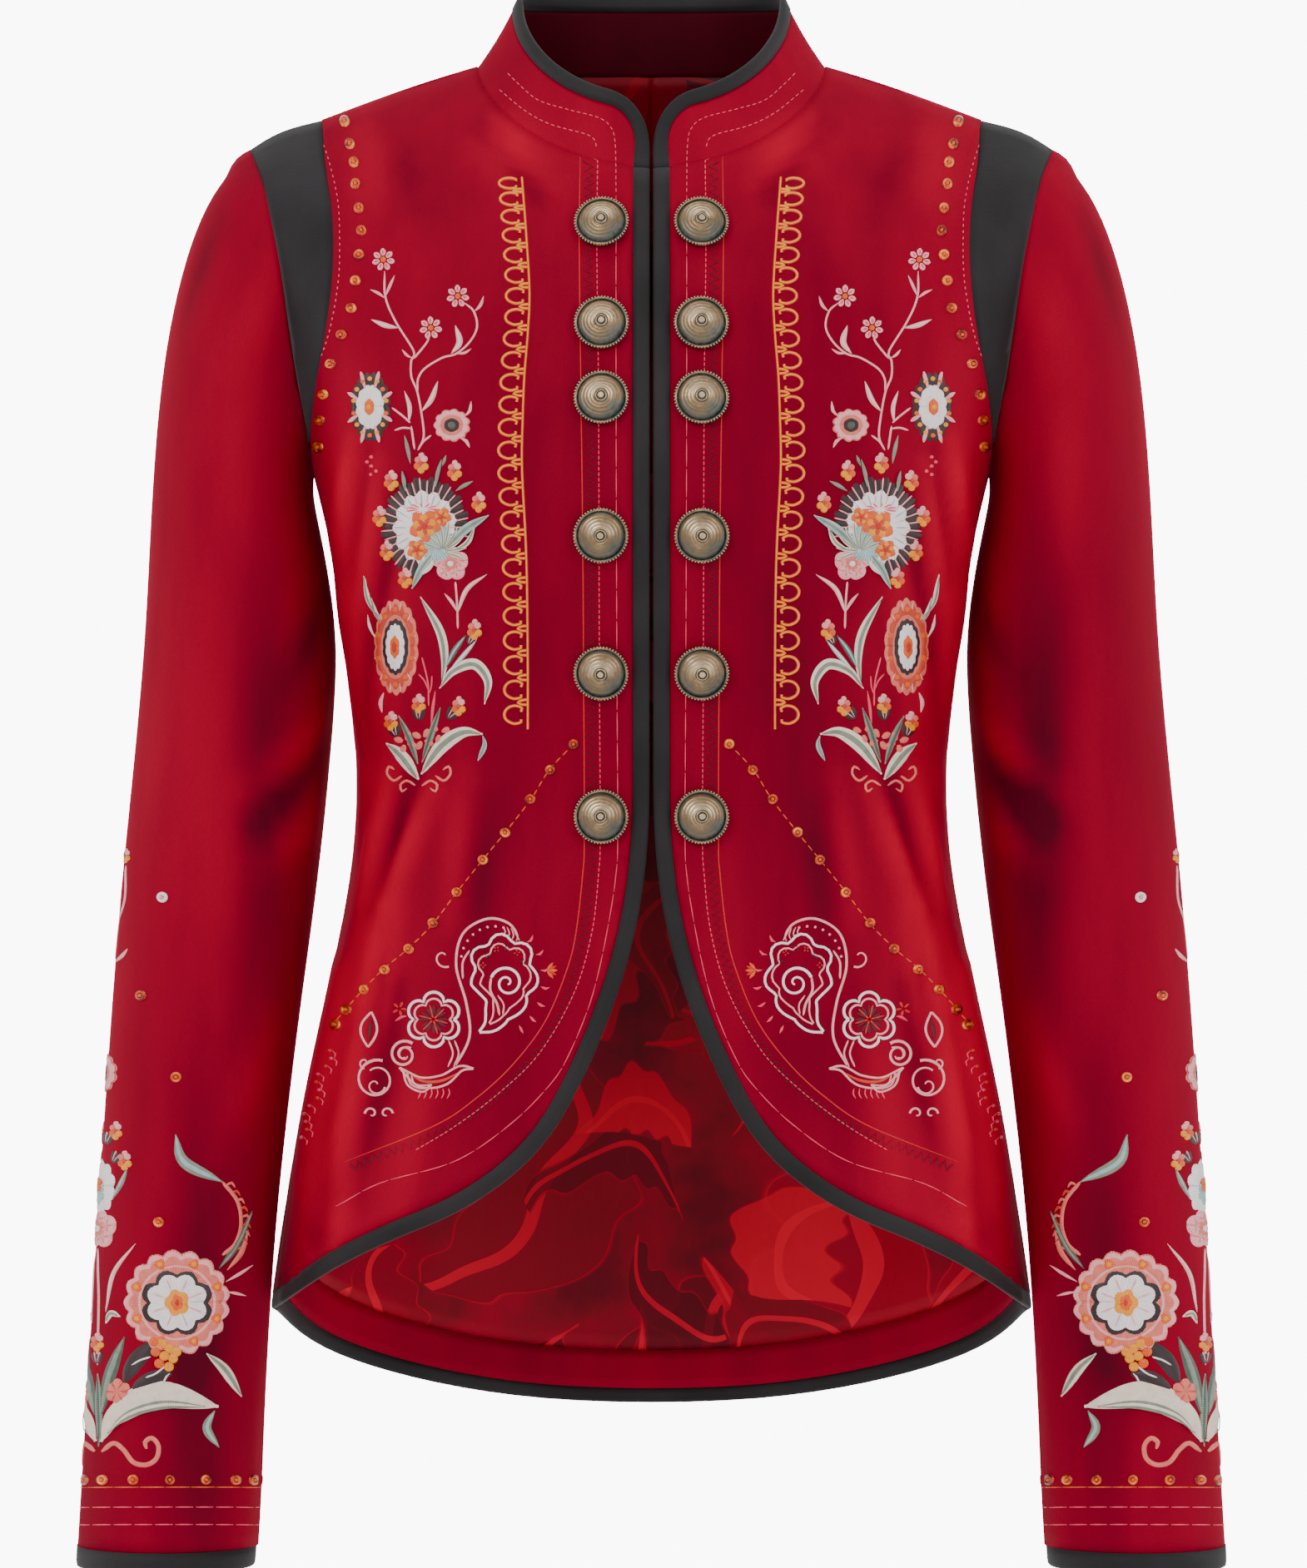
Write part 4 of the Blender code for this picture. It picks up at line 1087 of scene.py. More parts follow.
def small_flower(work, x, y):
    """A star of blush petals with pink veins."""
    petals(work, (x, y), 7, 4.6, 13.5, 3.7, "blush", turn=10)
    petals(work, (x, y), 7, 6.0, 11.0, 1.3, "pink", turn=10, height=0.25, lift=0.42)
    knot(work, (x, y), 3.6, "orange", 0.8)


def pale_rose(work, x, y, radius):
    """A flower of five round pale petals, each with coral stitching."""
    for k in range(5):
        middle = around((x, y), -90 + 72 * k, 0.5 * radius)
        bloom(work, middle, (1, 1), 0, 0.52 * radius, "blush", 3, 0.1, 0.7, 0.04 * k)
        petals(work, middle, 5, 1.5, 0.34 * radius, 0.8, "salmon", height=0.2, lift=0.7 + 0.04 * k)
    bloom(work, (x, y), (1, 1), 0.18 * radius, 0.34 * radius, "salmon", 5, 0.2, 0.4, 0.75)
    knot(work, (x, y), 0.17 * radius, "white", 0.5, 0.75)


def dark_eyed_flower(work, x, y, radius, scale=(1, 1)):
    """A salmon flower round a dark eye."""
    bloom(work, (x, y), scale, 0, radius, "salmon", 11, 0.12, 0.6)
    bloom(work, (x, y), scale, 0.62 * radius, 0.9 * radius, "blush", 11, 0.1, 0.25, 0.55)
    bloom(work, (x, y), scale, 0.2 * radius, 0.42 * radius, "brown", 6, 0.05, 0.3, 0.6)
    bloom(work, (x, y), scale, 0, 0.2 * radius, "moss", 6, 0.05, 0.3, 0.62)


def sunburst(work, x, y):
    """A white oval flower in a dark ring set with yellow knots, and blush rays."""
    bloom(work, (x, y), (0.58, 1), 25, 41, "brown", 16, 0.1, 0.45)
    for k in range(14):
        place = around((x, y), 360 * (k + 0.5) / 14, 34, (0.58, 1))
        knot(work, place, 2.9, "yellow" if k % 3 else "orange", 0.5, 0.35)
    bloom(work, (x, y), (0.66, 1), 0, 27, "white", 12, 0.12, 0.7, 0.2)
    petals(work, (x, y), 8, 24, 46, 2.6, "blush", (0.62, 1), 22, 0.5, 0.35)
    bloom(work, (x, y), (0.62, 1), 0, 10, "orange", 6, 0.1, 0.5, 0.85)
    knot(work, (x, y), 3.0, "yellow", 0.4, 1.2)


def rose_core(work, x, y, size):
    """A loose rose of orange and yellow petals round a red eye."""
    petals(work, (x, y), 5, 2 * size, 13 * size, 5.2 * size, "orange", turn=10, height=0.45, lift=1.0)
    petals(work, (x, y), 5, 2 * size, 9.5 * size, 3.6 * size, "yellow", turn=46, height=0.4, lift=1.3)
    petals(work, (x, y), 5, 1 * size, 6.5 * size, 2.2 * size, "coral", turn=10, height=0.3, lift=1.6)
    knot(work, (x, y), 2.4 * size, "flame", 0.4, 1.8)


def great_bloom(work, x, y):
    """The main flower: a white scalloped bloom with a rose, in a dark fringe crossed by pale rays."""
    for k in range(26):
        angle = 95 + 270 * k / 25
        outer = 51 + 3 * (k % 2)
        a, b = [around((x, y), angle, reach, (1, 1.14)) for reach in (34, outer)]
        leaf(work, [a, (a + b) / 2, b], 4.8, "brown", full=0.35, height=0.45)
        ray = [around((x, y), angle + 5.4, reach, (1, 1.14)) for reach in (34, outer - 1)]
        stem(work, ray, "blush", 1.0, 0.5, 0.15)
    bloom(work, (x, y), (1, 1.2), 0, 38, "white", 13, 0.16, 0.75, 0.2)
    petals(work, (x, y), 13, 20, 35, 0.8, "sea", (1, 1.2), 14, 0.2, 0.88)
    petals(work, (x, y), 13, 25, 33, 0.6, "blush", (1, 1.2), 0, 0.2, 0.88)
    bloom(work, (x + 14, y + 18), (1, 1.1), 0, 21, "sea", 9, 0.16, 0.35, 0.85)
    petals(work, (x - 2, y - 22), 11, 4, 13, 1.1, "pink", (1.5, 0.6), 0, 0.2, 0.9)
    for k in range(9):
        tip = around((x + 20, y + 28), -160 + 22 * k, 1, (31, 38))
        middle = ((x + 22 + tip[0]) / 2 + 2, (y + 28 + tip[1]) / 2)
        leaf(work, [(x + 22, y + 28), middle, tip], 2.3, "cream", "sage", 0.35, 1.0)
    rose_core(work, x + 1, y - 2, 1.5)
    rose_core(work, x + 21, y - 13, 0.9)
    rose_core(work, x - 8, y + 26, 1.0)


def oval_flower(work, x, y):
    """The tall flower: a white heart with a dark edge, in a ring of coral and salmon."""
    bloom(work, (x, y), (0.46, 1), 28, 58, "salmon", 18, 0.07, 0.55)
    bloom(work, (x, y), (0.46, 1), 38, 50, "coral", 18, 0.1, 0.3, 0.5)
    for k in range(10):
        place = around((x, y), 360 * (k + 0.5) / 10, 45, (0.46, 1))
        knot(work, place, 3.4, "orange", 0.35, 0.7)
    bloom(work, (x, y), (0.45, 1), 0, 36, "brown", 14, 0.08, 0.5, 0.3)
    bloom(work, (x, y), (0.4, 1), 0, 30, "white", 14, 0.1, 0.5, 0.55)
    petals(work, (x, y), 12, 40, 56, 1.0, "blush", (0.46, 1), 15, 0.2, 0.62)
    bloom(work, (x, y), (0.42, 1), 0, 14, "orange", 6, 0.15, 0.4, 1.0)
    bloom(work, (x, y), (0.4, 1), 0, 7, "flame", 6, 0.15, 0.3, 1.35)


def draw_front_spray(work):
    """The flower spray down the front, from its three small flowers to the clump of leaves."""
    for x, y in ((460.5, 312), (550, 356), (517.5, 394)):
        small_flower(work, x, y)
    stem(
        work,
        [
            (462, 326), (463, 357), (475, 386), (497, 422), (494, 433), (494, 452), (501, 470), (506, 495),
            (509, 524), (502, 541)
        ]
    )
    stem(work, [(497, 431), (513, 411), (515, 402)])
    stem(
        work,
        [
            (502, 470), (502, 456), (510, 443), (531, 430), (548, 425), (564, 411), (573, 393), (569, 374),
            (558, 364)
        ]
    )
    leaf(work, [(463, 356), (468, 344), (474, 331)], 2.0, "blush")
    leaf(work, [(462, 358), (454, 352), (445, 348)], 2.0, "blush")
    leaf(work, [(479, 394), (463, 391), (446, 384)], 3.4, "blush", "cream")
    leaf(work, [(495, 430), (489, 427), (483, 420)], 1.9, "blush")
    leaf(work, [(570, 374), (577, 367), (581, 356)], 2.2, "blush")
    leaf(work, [(542, 425), (552, 411), (547, 391)], 4.2, "blush", "cream")
    leaf(work, [(548, 425), (558, 424), (566, 419)], 1.8, "blush")
    leaf(work, [(506, 495), (518, 480), (526, 458)], 3.6, "blush", "cream")
    leaf(work, [(491, 508), (492, 489), (486, 470)], 3.0, "blush", "cream")
    stem(work, [(493, 508), (484, 500), (471, 490)])
    stem(work, [(494, 515), (484, 514), (474, 517)])
    stem(work, [(494, 512), (496, 526), (498, 540)])
    stem(work, [(502, 541), (508, 531), (518, 523)])
    leaf(work, [(493, 557), (490, 541), (486, 523)], 2.6, "sage")
    leaf(work, [(531, 560), (534, 552), (536, 547)], 2.2, "sage")
    sunburst(work, 445, 489)
    dark_eyed_flower(work, 543, 511, 22, (1, 0.9))
    leaf(work, [(558, 500), (564, 494), (566, 482)], 2.2, "blush")
    leaf(work, [(553, 526), (560, 530), (564, 538)], 2.4, "blush")
    for x, y in ((446, 549), (441, 555), (446, 560), (452, 566), (446, 570)):
        knot(work, (x, y), 2.2, "pink", 0.45)
    great_bloom(work, 511, 634)
    for x, y in ((506, 556), (546, 565), (575, 603), (470, 577), (456, 620), (465, 661), (487, 694)):
        floret(work, x, y)
    leaf(work, [(537, 659), (560, 636), (588, 619)], 5.4, "sea", "sage", 0.5, 0.9)
    leaf(work, [(545, 662), (562, 652), (571, 634)], 3.2, "cream", "sage", 0.5, 0.9)
    leaf(work, [(522, 664), (508, 682), (496, 707)], 4.6, "sea", "sage", 0.5, 0.9)
    leaf(work, [(524, 668), (516, 682), (503, 692)], 3.0, "cream", None, 0.5, 0.7)
    leaf(work, [(548, 590), (557, 584), (569, 578)], 2.4, "sage", None, 0.5, 0.6)
    leaf(work, [(524, 585), (526, 570), (531, 552)], 2.4, "sage", None, 0.5, 0.6)
    leaf(work, [(488, 590), (486, 578), (484, 566)], 2.4, "sage", None, 0.5, 0.6)
    pale_rose(work, 542, 677, 21)
    stem(work, [(547, 699), (549, 725), (550, 755)])
    leaf(work, [(549, 738), (561, 708), (585, 690)], 3.2, "blush", "cream")
    leaf(work, [(549, 735), (543, 724), (534, 713)], 2.2, "blush")
    leaf(work, [(459, 745), (443, 722), (437, 690)], 3.6, "cream", "sage")
    leaf(work, [(462, 752), (452, 738), (446, 718)], 2.8, "cream", "sage")
    leaf(work, [(452, 768), (444, 752), (442, 738)], 2.0, "cream")
    oval_flower(work, 476, 777)
    leaf(work, [(461, 832), (457, 844), (459, 856)], 2.6, "blush")
    leaf(work, [(531, 822), (534, 790), (528, 758), (505, 717)], 6.0, "cream", "sage")
    leaf(work, [(535, 803), (546, 782), (560, 763)], 4.0, "moss", "sea")
    leaf(work, [(540, 806), (558, 786), (573, 768)], 3.0, "sea", "white")
    dark_buds(work, 562, 776, -62, 0.75)
    floret(work, 570, 756)
    leaf(work, [(528, 827), (545, 806), (570, 798), (586, 818), (582, 846)], 7.2, "cream", "sage")
    stem(work, [(515, 848), (514, 820), (507, 790)], "pink", 1.0)
    stem(work, [(514, 828), (510, 818), (503, 810)], "pink", 0.9)
    stem(work, [(514, 836), (518, 826), (519, 812)], "pink", 0.9)
    leaf(work, [(518, 872), (520, 850), (523, 830)], 2.0, "pink")
    for x, y, angle in ((470, 866, -110), (503, 845, -90), (551, 848, -50)):
        way = (math.cos(math.radians(angle)), math.sin(math.radians(angle)))
        dark_buds(work, x - way[0] * 22, y - way[1] * 22, angle)
        floret(work, x, y, 0.95)
    petals(work, (487, 892), 4, 3, 14, 4.2, "salmon", turn=200)
    petals(work, (508, 888), 4, 3, 14, 4.2, "salmon", turn=210)
    petals(work, (528, 880), 3, 3, 13, 4.0, "salmon", turn=220)
    leaf(work, [(503, 937), (482, 908), (464, 893)], 8.2, "cream", "sage")
    leaf(work, [(506, 930), (530, 897), (556, 880), (580, 882)], 9.6, "cream", "sage")
    leaf(work, [(502, 918), (492, 888), (479, 860)], 4.4, "sage", "moss")
    leaf(work, [(507, 916), (518, 882), (529, 850)], 4.6, "sage", "moss")
    leaf(work, [(580, 884), (582, 896), (574, 914)], 3.4, "sea", "sage")
    for side in (-1, 1):
        stem(
            work,
            [
                (503 + 4 * side, 944), (503 + 14 * side, 938), (503 + 22 * side, 943),
                (503 + 20 * side, 951), (503 + 14 * side, 947)
            ],
            "salmon", 1.6
        )
        stem(
            work,
            [
                (503 + 20 * side, 932), (503 + 30 * side, 938), (503 + 38 * side, 930),
                (503 + 36 * side, 921), (503 + 29 * side, 925)
            ],
            "salmon", 1.6
        )


SCROLL_LINE = [
    (627, 213), (632, 280), (636, 350), (634, 400), (630, 450), (628, 500), (627, 560), (631, 640),
    (633, 700), (634, 800), (634, 876)
]
SCROLL_UNIT = [
    (8, 0.30), (7, 0.16), (14, 0.06), (23, 0.13), (28, 0.36), (26, 0.62), (17, 0.78), (8, 0.72), (8, 0.60)
]
SCROLL_LINK = [(1, 0.82), (7, 0.84), (12, 0.92), (8, 1.01), (1, 1.02)]
SCROLL_UNITS = 25
SCROLL_GROWTH = 1.13


def draw_scroll_edge(work):
    """The gold line with its row of linked scrolls."""
    line = curve(SCROLL_LINE, 2.0)
    satin(work, line, 1.8, "flame", 0.3)
    satin(work, line, 1.1, "yellow", 0.35, 0.2)
    ends = np.linspace(0, 1, SCROLL_UNITS + 1) ** SCROLL_GROWTH * lengths(line)[-1]
    for k, (top, bottom) in enumerate(zip(ends, ends[1:])):
        shapes = [SCROLL_UNIT] if k == SCROLL_UNITS - 1 else [SCROLL_UNIT, SCROLL_LINK]
        for shape in shapes:
            out, down = np.array(shape).T
            path = curve(places_on(line, top + (bottom - top) * down) - out[:, None] * (1, 0), 2.5)
            satin(work, path, 2.2, "flame", 0.35)
            satin(work, path, 1.35, "yellow", 0.35, 0.25)


def draw_front_lines(work):
    """The orange, dark and pink stitch lines beside the front edge and round the cutaway."""
    stem(
        work,
        [
            (697, 186), (696, 300), (698, 480), (700, 640), (701, 800), (702, 1000), (700, 1050),
            (692, 1120), (681, 1165), (655, 1227), (617, 1278), (574, 1318), (521, 1353), (414, 1396)
        ],
        "flame", 0.9, 0.3
    )
    zigzag(
        work,
        [
            (708, 190), (707, 300), (709, 480), (710, 800), (711, 1000), (709, 1052), (701, 1121),
            (688, 1172), (672, 1222), (636, 1276), (591, 1322), (534, 1358), (420, 1404)
        ],
        5, 5, "wine"
    )
    running(
        work,
        [
            (718, 178), (717, 300), (719, 480), (720, 800), (721, 1000), (719, 1050), (711, 1120),
            (690, 1192), (649, 1264), (601, 1312), (547, 1353), (494, 1385)
        ],
        "pink", 5, 1.6, 0.8
    )
    running(
        work,
        [
            (740, 235), (740, 480), (741, 800), (742, 1000), (740, 1050), (732, 1104), (719, 1168),
            (705, 1216), (681, 1272), (660, 1304), (614, 1350), (547, 1395), (458, 1421), (412, 1445),
            (390, 1457)
        ],
        "pink", 34, 2.5, 0.75
    )
    running(
        work,
        [
            (384, 160), (397, 200), (406, 243), (408, 286), (407, 332), (400, 379), (391, 414), (377, 450),
            (371, 480), (368, 507)
        ],
        "pink", 3.5, 4, 0.8
    )
    running(
        work,
        [
            (690, 893), (660, 925), (638, 960), (607, 1000), (580, 1033), (548, 1073), (520, 1110),
            (490, 1140), (460, 1165), (430, 1196), (404, 1226)
        ],
        "orange", 8, 4, 0.8
    )
    for x, y in (
        (414, 146), (420, 173), (425, 195), (427, 221), (431, 250), (434, 277), (431, 306), (427, 337),
        (422, 370), (410, 402), (397, 437), (388, 474), (384, 505), (382, 537)
    ):
        sequin(work, x, y)
    for x, y in (
        (689, 894), (661, 925), (637, 960), (607, 1000), (580, 1033), (549, 1072), (520, 1109), (491, 1140),
        (462, 1165), (437, 1189), (416, 1213), (403, 1231)
    ):
        sequin(work, x, y)


def draw_collar_lines(work):
    """The two pink stitch lines that turn from the collar into the front edge."""
    running(
        work,
        [(610, 88), (622, 100), (646, 120), (680, 131), (718, 141), (733, 152), (739, 172), (740, 232)],
        "pink", 5, 2.5, 0.7
    )
    running(
        work, [(600, 108), (632, 134), (663, 150), (703, 161), (714, 168), (717, 180)], "pink", 5, 2.5, 0.7
    )


def outline_flower(work, center, radius, lobes, depth, thread, width):
    """The outline of a flower of round petals."""
    angles = np.linspace(0, 2 * np.pi, lobes * 9 + 1)
    reach = radius * (1 - depth + depth * np.abs(np.sin(lobes * angles / 2)) ** 0.7)
    line = np.array(center) + reach[:, None] * ways_at(angles)
    satin(work, line, width, thread, 0.4)


def scroll(work, center, radius, start, turns, thread="blush", width=1.5, curl=0.22):
    """A line that winds in towards its middle; turns below 0 wind the other way."""
    share = np.linspace(0, 1, int(26 * abs(turns)) + 2)
    angles = math.radians(start) + 2 * np.pi * turns * share
    reach = radius * (1 - (1 - curl) * share)
    line = np.array(center) + reach[:, None] * ways_at(angles)
    satin(work, line, width * (1.1 - 0.4 * share), thread, 0.4)


def paisley_outline(work, points, widths, lobes, depth, thread, weight):
    """A paisley's scalloped outline round its spine, from the tip over the round head and back."""
    line, share = spine_of(points)
    ways, aside = ways_of(line)
    half = np.interp(share, np.linspace(0, 1, len(widths)), widths)
    turn = np.linspace(0, np.pi, 20)[1:-1, None]
    head = aside[0] * np.cos(turn) - ways[0] * np.sin(turn)
    base = np.vstack([line[::-1], np.repeat(line[:1], len(head), axis=0), line])
    out = np.vstack([aside[::-1], head, -aside])
    reach = np.concatenate([half[::-1], np.full(len(head), half[0]), half])[:, None]
    around = lengths(base + out * reach)
    scallops = np.abs(np.sin(lobes * np.pi * around / around[-1]))[:, None]
    satin(work, base + out * reach * (1 - depth + depth * scallops), weight, thread, 0.4)


def leaf_outline(work, points, width, thread="blush", weight=1.5):
    """A leaf drawn in outline: two lines from base to tip round its spine."""
    line, share = spine_of(points)
    half = ways_of(line)[1] * (width * np.sin(np.pi * share))[:, None]
    satin(work, line + half, weight, thread, 0.4)
    satin(work, line - half, weight, thread, 0.4)


def draw_paisley(work):
    """The pale outline work on the skirt: a paisley under an arch, a flower, scrolls and sprigs."""
    stem(
        work,
        [
            (624, 1130), (612, 1110), (585, 1104), (556, 1122), (548, 1160), (560, 1205), (564, 1245),
            (548, 1280)
        ],
        width=1.7
    )
    stem(work, [(564, 1142), (556, 1156), (556, 1176)], width=1.4)
    for k in range(8):
        knot(work, around((594, 1155), 188 + 14 * k, 1, (40, 42)), 1.6, "blush", 0.4)
    for k in range(4):
        stem(
            work, [(604 + 5 * k, 1113 + k), (607 + 5 * k, 1119 + 2 * k), (605 + 5 * k, 1125 + 2 * k)],
            width=0.9
        )
    scroll(work, (533, 1150), 13, 60, 0.7, width=1.3)
    spine = [(604, 1163), (606, 1184), (602, 1210), (590, 1231), (576, 1240)]
    paisley_outline(work, spine, (41, 40, 26, 12, 1), 8, 0.25, "white", 1.7)
    spine = [(605, 1165), (607, 1184), (604, 1205), (596, 1222), (588, 1230)]
    paisley_outline(work, spine, (32, 31, 18, 7, 1), 8, 0.25, "blush", 1.2)
    scroll(work, (609, 1181), 20, 200, 1.6, "white", 1.8, 0.1)
    stem(work, [(590, 1174), (589, 1190), (597, 1206), (600, 1220)], width=1.6)
    stem(work, [(598, 1196), (605, 1207), (604, 1219)], width=1.1)
    for k in range(6):
        place = around((605, 1164), 190 + 30 * k, 25)
        petals(work, place, 4, 1, 4, 1.2, "wine" if k % 2 else "red", turn=20 * k)
    for k in range(7):
        way = around((0, 0), -50 + 19 * k, 1)
        start = np.array((603, 1178)) + way * (47, 60)
        leaf(work, [start, start + way * 5 + (1, 2), start + way * 11], 1.9, "pink")
    root = np.array((657, 1166))
    for k in range(5):
        tip = around((659, 1166), -60 + 30 * k, 11)
        leaf(work, [root, (root + tip) / 2, tip], 2.4, "flame" if k % 2 else "orange")
    flower = (521, 1225)
    outline_flower(work, flower, 33, 6, 0.26, "white", 1.9)
    outline_flower(work, flower, 25, 6, 0.24, "blush", 1.4)
    petals(work, flower, 12, 5, 17, 1.9, "wine")
    petals(work, flower, 6, 4, 18, 1.5, "red", turn=15, height=0.4, lift=0.2)
    petals(work, flower, 6, 2, 6, 1.2, "coral", turn=15, height=0.4, lift=0.3)
    petals(work, (480, 1212), 5, 2, 9, 1.8, "flame", turn=150)
    leaf(work, [(489, 1221), (482, 1222), (475, 1227)], 2.0, "pink")
    scroll(work, (485, 1267), 17, -50, -1.7, width=1.8)
    scroll(work, (487, 1268), 11, -50, -0.8, width=1.2)
    leaf_outline(work, [(480, 1283), (505, 1300), (532, 1298), (553, 1284), (569, 1284)], 6.5)
    leaf(work, [(488, 1287), (508, 1299), (532, 1298), (556, 1286)], 2.0, "coral")
    for k in range(3):
        stem(
            work,
            [(484 + 5 * k, 1286 + 2 * k), (490 + 4 * k, 1304 - k), (508 + k, 1312 - 4 * k), (519, 1303)],
            width=1.4 - 0.2 * k
        )
    for x in (540, 547):
        stem(work, [(x - 2, 1282), (x + 4, 1266), (x - 1, 1250)], width=1.2)
    for k in range(6):
        stem(work, [(504 + 7 * k, 1308), (505 + 7 * k, 1314), (502 + 7 * k, 1320)], "pink", 1.0)
    leaf_outline(work, [(446, 1216), (443, 1236), (442, 1258)], 10)
    leaf(work, [(447, 1224), (444, 1237), (443, 1250)], 2.2, "wine")
    scroll(work, (452, 1297), 24, -70, -1.15, width=1.7, curl=0.55)
    scroll(work, (451, 1304), 12, 10, 0.9, width=1.3)
    scroll(work, (438, 1277), 7, 90, 0.8, width=1.2)
    for side in (-1, 1):
        scroll(work, (455 + 9 * side, 1338), 8, 90 - 90 * side, -0.8 * side, width=1.4)
    for k in range(12):
        y = 1262 + 9.5 * k
        x = 396 - 3.2 * k + 5 * math.sin(k * 1.4)
        knot(work, (x, y), 2.0, "pink" if k % 2 else "coral", 0.4)
        stem(work, [(x + 3, y), (x + 7, y + 4), (x + 6, y + 9)], "pink", 0.8)


def draw_sleeve_half(work, turned, middle=118):
    """Half of the sleeve's spray; turned draws its twin, on the hidden side of the spray's middle line."""

    def at(*points):
        return [(2 * middle - x, y) if turned else (x, y) for x, y in points]

    def one(x, y):
        return at((x, y))[0]

    for x, y in ((198, 1078), (172, 1196), (213, 1294), (192, 1468)):
        sequin(work, *one(x, y), "white" if y < 1100 else "foil")
    leaf(work, at((212, 1363), (222, 1396), (266, 1420)), 7.5, "sage", "sea")
    stem(work, at((266, 1420), (284, 1443), (289, 1470), (282, 1494), (266, 1508)), "salmon", 2.6)
    for k in range(9):
        share = k / 8
        x, y = 268 + 20 * math.sin(math.pi * share * 0.8), 1424 + 78 * share
        leaf(work, at((x + 2, y), (x + 9, y - 3), (x + 13, y + 3)), 2.0, "coral" if k % 2 else "salmon")
    leaf(work, at((262, 1524), (284, 1496), (303, 1455)), 5.0, "moss", "sage")
    leaf(work, at((272, 1526), (290, 1504), (298, 1478)), 3.6, "salmon")
    leaf(work, at((270, 1540), (288, 1530), (304, 1520)), 2.2, "blush")
    leaf(work, at((272, 1552), (284, 1554), (296, 1557)), 2.0, "blush")
    flower = one(213, 1565)
    bloom(work, flower, (1, 1), 0, 64, "salmon", 17, 0.09, 0.6)
    bloom(work, flower, (1, 1), 42, 60, "blush", 17, 0.1, 0.25, 0.5)
    bloom(work, flower, (1, 1), 44, 55, "salmon", 17, 0.1, 0.25, 0.62)
    for k in range(8):
        place = around(flower, 22.5 + 45 * k, 50)
        bloom(work, place, (1, 1), 0, 6.2, "orange", 3, 0.3, 0.35, 0.75)
        knot(work, place, 3.0, "yellow", 0.3, 1.0)
    bloom(work, flower, (1, 1), 0, 41, "brown", 8, 0.16, 0.5, 0.4)
    bloom(work, flower, (1, 1), 0, 35.5, "white", 8, 0.18, 0.45, 0.7)
    petals(work, flower, 8, 14, 30, 0.8, "blush", turn=22.5, height=0.2, lift=1.25)
    bloom(work, flower, (0.9, 1.05), 0, 15, "yellow", 5, 0.25, 0.5, 1.15, 18)
    bloom(work, flower, (0.8, 1.1), 0, 9, "orange", 5, 0.25, 0.35, 1.55, 18)
    bloom(work, flower, (0.6, 1.1), 0, 4, "flame", 3, 0.2, 0.3, 1.8)
    for k, (x, y) in enumerate(
        (
            (186, 1612), (196, 1614), (204, 1620), (188, 1624), (198, 1629), (208, 1632), (192, 1638),
            (203, 1642), (212, 1624)
        )
    ):
        knot(work, one(x, y), 6.0, "yellow" if k % 3 else "orange", 0.9, 0.5)
    leaf(work, at((150, 1660), (164, 1636), (186, 1612)), 11.0, "brown", full=0.5)
    leaf(work, at((160, 1668), (182, 1656), (206, 1650)), 9.0, "brown", full=0.5)
    for points in (
        ((160, 1640), (170, 1634), (182, 1630)), ((176, 1655), (188, 1650), (200, 1640)),
        ((196, 1662), (200, 1654), (204, 1650))
    ):
        stem(work, at(*points), "white", 1.2, 0.4, 0.4)
    bloom(work, one(142, 1672), (1, 1), 0, 15, "salmon", 6, 0.25, 0.6)
    petals(work, one(142, 1672), 6, 4, 13, 1.2, "coral", lift=0.5, height=0.3)
    leaf(work, at((122, 1700), (132, 1655), (151, 1606)), 8.5, "moss", "sage")
    leaf(work, at((121, 1732), (140, 1700), (190, 1676), (262, 1690)), 17.0, "cream", None, 0.7, 0.2)
    leaf(work, at((130, 1722), (155, 1700), (196, 1688), (246, 1690)), 5.5, "sage", "cream", 0.3, 0.85)
    leaf(work, at((248, 1626), (270, 1646), (291, 1678)), 7.0, "cream", "sage")
    leaf(work, at((258, 1695), (249, 1716), (264, 1739)), 6.0, "sage", "sea")
    stem(
        work,
        at(
            (122, 1744), (136, 1734), (148, 1742), (160, 1757), (176, 1760), (188, 1752), (190, 1737),
            (182, 1728), (174, 1733), (176, 1741)
        ),
        "salmon", 3.2, 0.6
    )
    leaf(work, at((128, 1576), (138, 1530), (165, 1494)), 3.0, "blush", "cream")
    leaf(work, at((128, 1590), (134, 1578), (146, 1582)), 4.2, "cream", "sage")
    leaf(work, at((137, 1440), (148, 1420), (155, 1404)), 3.6, "sage", "sea")
    dark_buds(work, *one(136, 1398), -58 if not turned else -122, 0.9)
    floret(work, *one(152, 1394), 0.95)
    dark_buds(work, *one(128, 1376), -72 if not turned else -108, 0.9)
    floret(work, *one(141, 1358), 0.9)
    stem(work, at((124, 1152), (136, 1120), (150, 1082), (152, 1040)), "blush", 1.4)
    leaf(work, at((138, 1156), (148, 1148), (155, 1140)), 2.6, "blush")
    floret(work, *one(151, 1028), 0.7)


# The share of a sleeve's half width that is drawn as the photo sees it: the rest runs on round behind
SLEEVE_EDGE = 0.97
# The cuff's middle and half width in the drawing, and the sequins all round it
CUFF_MIDDLE, CUFF_HALF = 204, 109
CUFF_SEQUINS = 15
# The part of the sleeve that is measured for its spray, and the slices it is measured in
SPRAY_BOTTOM, SPRAY_TOP = -660 * MM, -290 * MM
SECTION_STEP = 12 * MM
SECTION_REACH = 7 * MM


def cuff_place(turn):
    """Where in the drawing a point of the cuff lies, from its turn away from the front."""
    edge = math.asin(SLEEVE_EDGE)
    share = math.sin(turn) if abs(turn) < edge else math.copysign(SLEEVE_EDGE + abs(turn) - edge, turn)
    return CUFF_MIDDLE - CUFF_HALF * share


